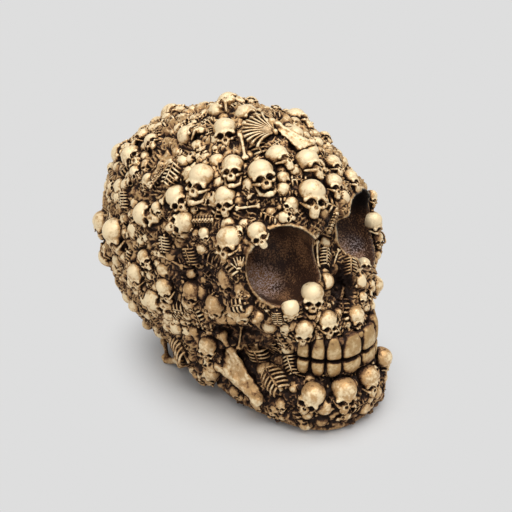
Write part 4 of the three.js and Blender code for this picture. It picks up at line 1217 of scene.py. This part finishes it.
def build_castings(settings):
    """The cranium and the jaw, bare, with masks of where relief and socket paint go, the socket paint's
    painted highlight and painted shadow among them.
    """
    cranium = surface(cranium_field, *CRANIUM_BOX, settings.step / MM)
    jaw = surface(jaw_field, *JAW_BOX, settings.step / MM)
    made["both"] = merged([cranium, jaw])
    made["ground"] = BVHTree.FromPolygons(made["both"][0].tolist(), made["both"][1].tolist())
    sheen = [(np.array(seen(*pixel)[0]), reach, strength) for pixel, reach, strength in SHEEN_SEEN]
    for name, part in (("cranium", cranium), ("jaw", jaw)):
        p = part[0].astype("f4")
        # Painted highlight, strongest at each listed place
        pearl = [
            strength * (1 - ease(length(p - place), 0.2 * reach, reach)) for place, reach, strength in sheen
        ]
        above = p[:, 2] - SOCKET["height"]
        # Painted shadow over the upper part of each socket
        soot = {side: dense * ease(above, start, full) for side, (start, full, dense) in SOCKET_SHADOW.items()}
        mesh = to_mesh(
            name + "_form_bare", part, rough=rough_mask(p, LOWEST_RUBBLE),
            socket=1 - ease(sockets(p), 0.1, 0.7), pearl=np.max(pearl, 0),
            soot=np.where(p[:, 0] > 0, soot["left"], soot["right"]),
        )
        bare = new_object(name + "_form_bare", mesh)
        mesh = baked(
            bare, bpy.data.node_groups["RubbleRelief"],
            Height=settings.rubble, Cell=settings.lump, Material=bpy.data.materials["aged_bronze_resin"],
        )
        piece(name + "_form", mesh, (name + "_casting",))
        bpy.data.objects.remove(bare)


def head_pose(pitch, yaw):
    return Matrix.Rotation(math.radians(yaw), 4, "Y") @ Matrix.Rotation(math.radians(pitch), 4, "X")


def build_relief(settings):
    """Every seated ornament at its place, each in full detail, and the cast-in skulls of the far side."""
    step = settings.step
    skulls = [make_skull(step, False), make_skull(step, True)]
    bone = make_bone(step)
    kinds = {
        "bone": bone,
        "chip": (bone[0] * (CHIP_STOUTNESS, 1.0, CHIP_STOUTNESS), bone[1]),
        "cage": make_cage(),
        "fan": make_fan(),
        "spine": make_spine(),
        "hand": make_hand(),
        "blade": make_blade(step),
    }

    def seated(kind, matrix, size, head):
        """An ornament in its seat; head is a small skull's pitch, yaw and whether it has its own jaw."""
        if kind != "skull":
            pose = Matrix.Translation((0, 0, BONE_LIFT)) @ Matrix.Scale(size, 4)
            return placed(kinds[kind], matrix @ pose)
        pitch, yaw, jaw = head
        pose = Matrix.Translation((0, 0, settings.lift * size)) @ Matrix.Scale(size, 4)
        return placed(skulls[jaw], matrix @ (pose @ head_pose(pitch, yaw)))

    made["seats"] = [(seat(*row[2:5]), KIND_SIZE[row[1]] * row[5]) for row in RELIEF]
    for row, (matrix, size) in zip(RELIEF, made["seats"]):
        name, kind = row[:2]
        mesh = to_mesh(name + "_relief", seated(kind, matrix, size, row[6:]))
        piece(name + "_relief", mesh, (name,))
    made["seen"], close_set = [], {}
    for name, kind, low, high, *head in SEEN:
        matrix, size = seat_seen(low, high)
        if kind == "skull":
            size /= SKULL_HEIGHT
        made["seen"].append((matrix, size))
        close_set.setdefault(name.split("_")[0], []).append(seated(kind, matrix, size, head))
    for place, parts in close_set.items():
        piece(place + "_close_set", to_mesh(place + "_close_set", merged(parts)), ())
    plain = make_skull(step * 1.4, False)
    cast = []
    for kind, size, matrix in spiral():
        pose = Matrix.Scale(size, 4) @ head_pose(CAST_IN_PITCH if kind == "skull" else 0, 0)
        cast.append(placed(plain if kind == "skull" else bone, matrix @ pose))
    piece("cast_in_bones", to_mesh("cast_in_bones", merged(cast)), ())


def tooth_ring(width, depth, height, sides=20):
    angle = np.linspace(0, 2 * np.pi, sides, endpoint=False)
    c, s = np.cos(angle), np.sin(angle)
    x = np.sign(c) * np.abs(c) ** TOOTH_CORNER * width / 2
    y = np.sign(s) * np.abs(s) ** TOOTH_CORNER * depth / 2
    return np.stack([x, y, np.full(sides, height)], -1)


def arch_at(x):
    return np.array((x, ARCH_FALL * abs(x / ARCH_HALF_WIDTH) ** 3 - ARCH_REACH, 0.0))


def tooth_places():
    """How far across each tooth of one side stands, and its width, going out along the arch."""
    x = travelled = edge = 0.0
    for share in TOOTH_WIDTH_SHARES:
        width = share * TOOTH_WIDTH
        while travelled < edge + width / 2:
            travelled += np.linalg.norm(arch_at(x + 0.1) - arch_at(x))
            x += 0.1
        edge += width
        yield x, width


def arch_frame(x, setback):
    """A place behind the arch's front, and the way the arch runs there."""
    run = arch_at(x + 0.1) - arch_at(x - 0.1)
    run /= np.linalg.norm(run)
    place = arch_at(x) + np.array((-run[1], run[0], 0)) * setback
    return place, math.atan2(run[1], run[0])


def build_teeth():
    """Two rows of broad worn teeth, each tooth a rounded block with its root drawn into the bone."""
    rng = np.random.default_rng(5)
    bone = make_bone(0.05)
    for name, up, crown, root in TOOTH_ROWS:
        parts = []
        edge = MOUTH_HEIGHT + up * MOUTH_GAP / 2
        for x, width in tooth_places():
            for side in SIDES:
                place, angle = arch_frame(side * x, TOOTH_DEPTH / 2)
                tall = (crown + root) * rng.uniform(0.94, 1.04)
                wide = (width - TOOTH_GAP) * rng.uniform(0.95, 1.0)
                rings = [tooth_ring(wide * w, TOOTH_DEPTH * d, up * r * tall) for r, w, d in TOOTH_PROFILE]
                matrix = Matrix.Translation((place[0], place[1], edge)) @ Matrix.Rotation(angle, 4, "Z")
                matrix = matrix @ Matrix.Rotation(math.radians(rng.uniform(-3, 3)), 4, "Y")
                parts.append(placed(rings_mesh(rings if up > 0 else rings[::-1]), matrix))
        gum = edge + up * GUM["height_share"] * crown
        reach = GUM["half_length"]
        path = [arch_frame(x, GUM["setback"])[0] + (0, 0, gum) for x in np.linspace(-reach, reach, 40)]
        parts.append(tube(path, GUM["radius"], 8))
        if up < 0:
            stray, lean = CHIPS["stray"], CHIPS["lean"]
            for x in np.linspace(-CHIPS["half_length"], CHIPS["half_length"], CHIPS["count"]):
                place, angle = arch_frame(x + rng.uniform(-stray, stray), CHIPS["setback"])
                tilt = Matrix.Rotation(math.radians(90 + rng.uniform(-lean, lean)), 4, "Z")
                out = Matrix.Rotation(angle, 4, "Z") @ Matrix.Rotation(math.radians(90), 4, "X") @ tilt
                put = Matrix.Translation((place[0], place[1], gum - CHIPS["drop"])) @ out
                parts.append(placed(bone, put @ Matrix.Scale(CHIPS["size"], 4)))
        piece(name + "_rows", to_mesh(name + "_rows", merged(parts)), (name,))


def filler_castings(step, sink):
    """The small castings that fill the space between the larger ones, in metres, ready to be strewn."""
    rng = np.random.default_rng(11)
    skull, jawed = make_skull(step, False), make_skull(step, True)
    bone = make_bone(step * 0.7)
    crossed = placed(bone, Matrix.Translation((0.16, 0.05, 0.05)) @ Matrix.Rotation(0.5, 4, "Z"))
    around = np.linspace(0, 2 * np.pi, 7, endpoint=False)
    bead = rings_mesh([
        np.stack([r * np.cos(around), r * np.sin(around), np.full(7, z)], -1)
        for r, z in ((0.3, -0.2), (0.5, 0.06), (0.36, 0.34), (0.14, 0.46))
    ])
    beads = []
    for _ in range(7):
        place = Matrix.Translation((*rng.uniform(-0.42, 0.42, 2), 0))
        beads.append(placed(bead, place @ Matrix.Scale(rng.uniform(0.22, 0.4), 4)))
    # Each casting, its size, and a small skull's pitch and yaw; the scatter picks them in the names' order
    rows = (
        ("a_skull", skull, 7.4, 10, 0),
        ("b_skull", jawed, 6.4, 0, 14),
        ("c_skull", skull, 5.8, 18, -18),
        ("d_bone", bone, 11.0, 0, 0),
        ("e_bones", merged([bone, crossed]), 9.0, 0, 0),
        ("f_cage", make_cage(4, 5, 5), 8.5, 0, 0),
        ("g_spine", make_spine(5, 6), 9.0, 0, 0),
        ("h_hand", make_hand(4), 8.0, 0, 0),
        ("i_beads", merged(beads), 5.5, 0, 0),
        ("j_skull", skull, 5.0, 4, 30),
        ("k_skull", jawed, 5.0, -6, -12),
        ("l_bone", bone, 8.0, 0, 0),
    )
    holder = bpy.data.collections.new("filler_castings")
    for name, part, size, pitch, yaw in rows:
        pose = Matrix.Translation((0, 0, -sink * size)) @ Matrix.Scale(size, 4) @ head_pose(pitch, yaw)
        verts, faces = placed(part, pose)
        holder.objects.link(bpy.data.objects.new(name, to_mesh(name, (verts - origin_shift() / MM, faces))))
    return holder


def zone_index(p, free):
    """Which of ZONES each point lies in, or -1 where nothing may be strewn."""
    edge = ZONE_EDGES
    left, high, back = p[:, 0] > 0, p[:, 2] > edge["crown_bottom"], p[:, 1] > edge["sides_back"]
    jaw = (p[:, 2] < MOUTH_HEIGHT) & (p[:, 1] < edge["jaw_back"])
    rules = {
        "jaw_left": jaw & left,
        "jaw": jaw,
        "face": (p[:, 1] < edge["face_back"]) & ~high & (np.abs(p[:, 0]) < edge["face_side"]),
        "crown_back": high & (p[:, 1] > edge["crown_back"]),
        "crown": high,
        "back_left": back & left,
        "back_right": back,
        "left_side": left,
        "right_side": ~left,
    }
    return np.where(free, np.select(list(rules.values()), [ZONES.index(name) for name in rules]), -1)


def build_filler(settings):
    """Small castings strewn over the bare casting, zone by zone, clear of the sockets, teeth and seats."""
    verts, faces = made["both"]
    p = verts.astype("f4")
    free = (rough_mask(p, LOWEST_FILLER) > 0.9) & (sockets(p) > SOCKET_BERTH)
    for matrix, size in made["seats"] + made["seen"]:
        m = np.array(matrix)
        local = (verts - m[:3, 3]) @ m[:3, :3]
        free &= np.hypot(local[:, 0] / 0.9, local[:, 1]) > settings.berth * size
    ground = new_object("filler_ground", to_mesh("filler_ground", (verts, faces), zone=zone_index(p, free)))
    castings = filler_castings(settings.step, settings.sink)
    tree, look = bpy.data.node_groups["ReliefScatter"], bpy.data.materials["bone_gold_resin"]
    for index, label in enumerate(ZONES):
        mesh = baked(
            ground, tree, Castings=castings, Zone=index, Spacing=settings.spacing, Seed=FIRST_SEED + index,
            Material=look,
        )
        if len(mesh.polygons):
            piece("filler_" + label, mesh, ())
    bpy.data.objects.remove(ground)
    for obj in list(castings.objects):
        bpy.data.objects.remove(obj)
    bpy.data.collections.remove(castings)


def painted_shade_and_wash(p, normals, settings):
    """Painted shade, on top of the recess wash: darker on what faces down, low down and in the hollows, and,
    partly as wash, on what turns away.
    """
    outward = (p - (0, 0, CASE["height"])) / np.square((CASE["wide"], CASE["long"], CASE["down"]))
    outward /= length(outward)[:, None]
    # Painted shade, partly wash: darker on the flanks of the ornaments
    away = np.clip(1 - (normals * outward).sum(-1), 0, 1) ** 2
    # Painted shade on surfaces that face down
    under = (1 - normals[:, 2]) / 2
    # Painted shade low down
    low = np.clip(1 - p[:, 2] / MOUTH_HEIGHT, 0, 1)
    q = mirrored(p)
    # Painted shade in the hollows and inside the nose
    deep = [share * (1 - ease(ellipsoid(q, **hollow), -1.0, 4.0)) for hollow, share in SHADED_HOLLOWS]
    deep = np.maximum(np.max(deep, 0), NOSE_SHADE * (1 - ease(nose(p), -1.5, 1.5)))
    wash = settings.away * away + settings.under * under + settings.low * low + settings.hollow * deep
    return wash * ease(sockets(p), 0.2, 1.2)


def read(collection, key, kind, width=1):
    values = np.empty(len(collection) * width, kind)
    collection.foreach_get(key, values)
    return values


def store_wash(settings):
    """Works out the recess wash and the painted shade of all the pieces together, and gives each piece its
    share.
    """
    places, loops, sizes, base = [], [], [], 0
    for obj in made["pieces"]:
        mesh = obj.data
        co = read(mesh.vertices, "co", "f4", 3)
        co[2::3] = np.maximum(co[2::3], BASE_HEIGHT * MM)  # the underside is ground flat
        mesh.vertices.foreach_set("co", co)
        mesh.update()
        places.append(co)
        loops.append(read(mesh.loops, "vertex_index", "i4") + base)
        sizes.append(read(mesh.polygons, "loop_total", "i4"))
        base += len(mesh.vertices)
    places = np.concatenate(places)
    holder = new_object("whole", new_mesh("whole", places, np.concatenate(loops), np.concatenate(sizes)))
    result = baked(holder, bpy.data.node_groups["RecessWash"], Reach=settings.reach, Rays=settings.rays)
    wash = read(result.attributes["wash"].data, "value", "f4")
    normals = read(result.vertex_normals, "vector", "f4", 3).reshape(-1, 3)
    verts = places.reshape(-1, 3) / MM - origin_shift() / MM
    # The recess wash plus the painted shade
    wash = settings.wash * wash + painted_shade_and_wash(verts.astype("f4"), normals, settings)
    bpy.data.objects.remove(holder)
    bpy.data.meshes.remove(result)
    start = 0
    for obj in made["pieces"]:
        here = slice(start, start + len(obj.data.vertices))
        own = wash[here]
        # Teeth darker towards their roots: painted shade, with some wash
        if "teeth" in obj.name:
            own = own + settings.gum * ease(np.abs(verts[here, 2] - MOUTH_HEIGHT), 2.5, 8.0)
        obj.data.attributes.new("wash", "FLOAT", "POINT").data.foreach_set("value", own)
        start = here.stop


def mix_paints(settings):
    def mix(**names):
        return {socket.replace("_", " "): (*getattr(settings, name), 1) for socket, name in names.items()}

    resin_paint()
    socket_paint()
    gold = mix(Dark="dark", Bronze="bronze", Gold="gold", Pale_Gold="pale_gold")
    worn = mix(Dark="dark", Bronze="bronze", Gold="tooth_gold", Pale_Gold="pale_tooth_gold")
    resin("aged_bronze_resin", 0.16, gold, mix(Soot="soot", Brown="brown", Fleck="fleck", Pearl="pearl"))
    resin("bone_gold_resin", 0.0, gold)
    resin("tooth_gold_resin", 0.06, worn)
    plain_material("base_brown_resin", settings.base, 0.6, 900.0, 0.0002)
    plain_material("black_felt", settings.felt, 0.95, 4000.0, 0.0003)


def paint_pieces():
    looks = bpy.data.materials
    for obj in made["pieces"]:
        if not obj.data.materials:
            look = "tooth_gold_resin" if "teeth" in obj.name else "bone_gold_resin"
            obj.data.materials.append(looks[look])
        obj.data.polygons.foreach_set("use_smooth", np.ones(len(obj.data.polygons), bool))
    for name, obj in frame["nodes"].items():
        if name == "base_plate" or name.endswith("_pad"):
            for place in obj.material_slots:
                place.material = looks["base_brown_resin" if name == "base_plate" else "black_felt"]


# The stage
def build_stage(settings):
    """A pale seamless floor, a broad soft light above, a fill, and the photo's camera."""
    shift = Vector(origin_shift())
    right, up, back = camera_axes(settings.azimuth, settings.elevation)
    target = shift + Vector((0, 0, CASE["height"])) * MM
    eye = target + back * settings.distance + right * settings.aside - up * settings.below
    camera = bpy.data.objects.new("camera", bpy.data.cameras.new("camera"))
    camera.data.lens = settings.lens
    camera.data.clip_start = 0.01
    camera.matrix_world = Matrix.Translation(eye) @ Matrix((right, up, back)).transposed().to_4x4()
    scene = bpy.context.scene
    scene.collection.objects.link(camera)
    scene.camera = camera
    scene.view_settings.view_transform = "Standard"

    bpy.ops.mesh.primitive_plane_add(size=FLOOR_SIZE)
    floor = bpy.context.object
    floor.name = "floor"
    made_material, tree, shader = material("pale_floor", Roughness=0.9)
    shader.inputs["Base Color"].default_value = (*[settings.floor] * 3, 1)
    middle = shift - Vector((0, PLATE_MIDDLE * MM, 0))
    away = vector_node(tree, "SUBTRACT", add(tree, "ShaderNodeTexCoord").outputs["Object"], tuple(middle))
    away = vector_node(tree, "LENGTH", vector_node(tree, "MULTIPLY", away, FLOOR_STRETCH))
    flat = ramp(tree, away, *FLOOR_FADE)
    backdrop = math_node(tree, "MULTIPLY", flat, add(tree, "ShaderNodeLightPath").outputs["Is Camera Ray"])
    glow = add(tree, "ShaderNodeEmission", {"Color": (*[settings.backdrop] * 3, 1)})
    both = add(tree, "ShaderNodeMixShader", {0: backdrop, 1: shader.outputs[0], 2: glow.outputs[0]})
    tree.links.new(both.outputs[0], tree.nodes["Material Output"].inputs["Surface"])
    floor.data.materials.append(made_material)

    world = bpy.data.worlds.new("studio")
    world.use_nodes = True
    sky = world.node_tree.nodes["Background"].inputs
    sky["Color"].default_value = (1, 1, 1, 1)
    sky["Strength"].default_value = settings.ambient
    scene.world = world
    for name, place, spread, power in (
        ("key_light", KEY_FROM, settings.key_spread, settings.key),
        ("fill_light", FILL_FROM, settings.fill_spread, settings.fill),
    ):
        light = bpy.data.objects.new(name, bpy.data.lights.new(name, "SUN"))
        light.data.angle = spread
        light.data.energy = power
        light.location = place
        light.rotation_euler = (-Vector(place)).to_track_quat("-Z", "Y").to_euler()
        scene.collection.objects.link(light)


# The add-on
def number(text, about, value, **limits):
    return bpy.props.FloatProperty(name=text, description=about, default=value, **limits)


def metres(text, about, value):
    return number(text, about, value, subtype="DISTANCE", precision=5)


def turned(text, about, degrees):
    return number(text, about, math.radians(degrees), subtype="ANGLE")


def fraction(text, about, value):
    return number(text, about, value, subtype="FACTOR", min=0.0, soft_max=2.0, precision=3)


def colour(text, about, *value):
    return bpy.props.FloatVectorProperty(
        name=text, description=about, default=value, subtype="COLOR", min=0.0, max=1.0,
    )


class BoneSkullColours(bpy.types.PropertyGroup):
    # Also the colour of the painted shade
    dark: colour("Dark wash", "The wash that stays in the recesses", 0.02, 0.008, 0.004)
    bronze: colour("Bronze", "Painted over the wash", 0.17, 0.078, 0.032)
    gold: colour("Gold", "Rubbed on what stands out", 0.62, 0.38, 0.17)
    pale_gold: colour("Pale gold", "Rubbed on the tops", 1.0, 0.8, 0.5)
    tooth_gold: colour("Tooth gold", "The gold of the teeth", 0.5, 0.31, 0.13)
    pale_tooth_gold: colour("Pale tooth gold", "The tops of the teeth", 0.75, 0.56, 0.31)
    brown: colour("Socket brown", "The bowls of the sockets", 0.045, 0.02, 0.012)
    fleck: colour("Socket fleck", "The flecks in the sockets", 0.34, 0.17, 0.08)
    # The colour of the painted highlight in the sockets
    pearl: colour("Socket pearl", "The sheen in the sockets", 0.74, 0.62, 0.62)
    # The colour of the painted shadow at the top of the sockets
    soot: colour("Socket soot", "The soot at the top of the sockets", 0.007, 0.005, 0.0045)
    base: colour("Base", "The base plate", 0.02, 0.012, 0.009)
    felt: colour("Felt", "The pads", 0.014, 0.013, 0.012)


class BoneSkullCasting(bpy.types.PropertyGroup):
    step: metres("Step", "Distance between the points of the bare casting", 0.00086)
    rubble: fraction("Rubble height", "Height of the rubble, as a share of a round hump's", 1.1)
    lump: metres("Lump size", "Size of the lumps on the bare casting", 0.0056)


class BoneSkullRelief(bpy.types.PropertyGroup):
    step: fraction("Step", "Distance between an ornament's points, as a share of its width", 0.04)
    lift: fraction("Lift", "How far a small skull stands out of the casting, as a share of its width", 0.12)


class BoneSkullFiller(bpy.types.PropertyGroup):
    step: fraction("Step", "Distance between a small casting's points, as a share of its width", 0.105)
    spacing: metres("Spacing", "Least distance between two small castings", 0.0043)
    berth: fraction("Berth", "How far they stay from an ornament's middle, as a share of its size", 0.44)
    sink: fraction("Sink", "How far a small casting is sunk, as a share of its size", 0.14)


class BoneSkullPaint(bpy.types.PropertyGroup):
    reach: metres("Reach", "How far off a neighbour still keeps the wash in", 0.0042)
    rays: bpy.props.IntProperty(name="Rays", description="Directions tried at a point", default=20, min=1)
    wash: fraction("Wash", "How strongly the wash stays between neighbours", 1.05)
    # Painted shade, with some wash, on the flanks of an ornament
    away: fraction("Away", "How much more wash the flanks of an ornament keep", 0.26)
    # Painted shade on surfaces that face down
    under: fraction("Under", "How much more wash a surface that faces down keeps", 0.13)
    # Painted shade low down
    low: fraction("Low", "How much more wash the lowest part keeps", 0.12)
    # Painted shade in the temples, cheeks and nose
    hollow: fraction("Hollow", "How much more wash the temples, cheeks and nose keep", 0.22)
    # Painted shade, with some wash, towards the teeth's roots
    gum: fraction("Gum", "How much more wash the teeth keep at their roots", 0.12)


class BoneSkullStage(bpy.types.PropertyGroup):
    azimuth: turned("Azimuth", "Where the camera stands round the skull", VIEW["azimuth"])
    elevation: turned("Elevation", "How high the camera stands", VIEW["elevation"])
    distance: metres("Distance", "From the camera to the skull's middle", VIEW["distance"] * MM)
    aside: metres("Aside", "How far the camera is moved to its right", VIEW["aside"] * MM)
    below: metres("Below", "How far the camera is moved down", VIEW["below"] * MM)
    lens: number("Lens", "Focal length", VIEW["lens"], unit="CAMERA")
    floor: fraction("Floor", "Brightness of the floor's paint", 0.62)
    backdrop: fraction("Backdrop", "Brightness of the backdrop that the floor fades into", 0.73)
    ambient: number("Ambient", "Strength of the light from all round", 0.36, min=0.0)
    key: number("Key", "Strength of the broad light above the face", 2.5, min=0.0)
    key_spread: turned("Key spread", "How broad the key light is", 55.0)
    fill: number("Fill", "Strength of the light on the skull's right side", 0.5, min=0.0)
    fill_spread: turned("Fill spread", "How broad the fill light is", 60.0)


class BONESKULL_OT_paints(bpy.types.Operator):
    """Mix the resin paints, the base plate's brown and the pads' felt"""

    bl_idname = "boneskull.paints"
    bl_label = "Mix Paints"

    def execute(self, context):
        mix_paints(context.scene.bone_skull_colours)
        return {"FINISHED"}


class BONESKULL_OT_casting(bpy.types.Operator):
    """Build the bare cranium and jaw castings"""

    bl_idname = "boneskull.casting"
    bl_label = "Bare Casting"

    def execute(self, context):
        rubble_group()
        build_castings(context.scene.bone_skull_casting)
        return {"FINISHED"}


class BONESKULL_OT_relief(bpy.types.Operator):
    """Seat the small skulls, bones, ribs, hands and backbones on the casting"""

    bl_idname = "boneskull.relief"
    bl_label = "Seated Relief"

    def execute(self, context):
        build_relief(context.scene.bone_skull_relief)
        return {"FINISHED"}


class BONESKULL_OT_teeth(bpy.types.Operator):
    """Set both rows of teeth"""

    bl_idname = "boneskull.teeth"
    bl_label = "Teeth"

    def execute(self, context):
        build_teeth()
        return {"FINISHED"}


class BONESKULL_OT_filler(bpy.types.Operator):
    """Strew the small castings between the ornaments"""

    bl_idname = "boneskull.filler"
    bl_label = "Small Castings"

    def execute(self, context):
        scatter_group()
        build_filler(context.scene.bone_skull_filler)
        return {"FINISHED"}


class BONESKULL_OT_paint(bpy.types.Operator):
    """Work out the recess wash and the painted shade, and paint every piece"""

    bl_idname = "boneskull.paint"
    bl_label = "Paint"

    def execute(self, context):
        wash_group()
        store_wash(context.scene.bone_skull_paint)
        paint_pieces()
        return {"FINISHED"}


class BONESKULL_OT_stage(bpy.types.Operator):
    """Set up the floor, the lights and the camera"""

    bl_idname = "boneskull.stage"
    bl_label = "Stage"

    def execute(self, context):
        build_stage(context.scene.bone_skull_stage)
        return {"FINISHED"}


OPERATORS = (
    BONESKULL_OT_paints,
    BONESKULL_OT_casting,
    BONESKULL_OT_relief,
    BONESKULL_OT_teeth,
    BONESKULL_OT_filler,
    BONESKULL_OT_paint,
    BONESKULL_OT_stage,
)
SETTINGS = {
    "bone_skull_colours": BoneSkullColours,
    "bone_skull_casting": BoneSkullCasting,
    "bone_skull_relief": BoneSkullRelief,
    "bone_skull_filler": BoneSkullFiller,
    "bone_skull_paint": BoneSkullPaint,
    "bone_skull_stage": BoneSkullStage,
}


class VIEW3D_PT_bone_skull(bpy.types.Panel):
    bl_idname = "VIEW3D_PT_bone_skull"
    bl_label = "Bone Skull"
    bl_space_type = "VIEW_3D"
    bl_region_type = "UI"
    bl_category = "Bone Skull"

    def draw(self, context):
        for name, kind in SETTINGS.items():
            group = getattr(context.scene, name)
            for key in kind.__annotations__:
                self.layout.prop(group, key)
        for operator in OPERATORS:
            self.layout.operator(operator.bl_idname)


def register():
    for kind in (*SETTINGS.values(), *OPERATORS, VIEW3D_PT_bone_skull):
        bpy.utils.register_class(kind)
    for name, kind in SETTINGS.items():
        setattr(bpy.types.Scene, name, bpy.props.PointerProperty(type=kind))


def unregister():
    for name in SETTINGS:
        delattr(bpy.types.Scene, name)
    for kind in reversed((*SETTINGS.values(), *OPERATORS, VIEW3D_PT_bone_skull)):
        bpy.utils.unregister_class(kind)


def main():
    register()
    bpy.ops.boneskull.paints()
    bpy.ops.boneskull.casting()
    bpy.ops.boneskull.relief()
    bpy.ops.boneskull.teeth()
    bpy.ops.boneskull.filler()
    bpy.ops.boneskull.paint()
    bpy.ops.boneskull.stage()


if __name__ == "__main__":
    main()
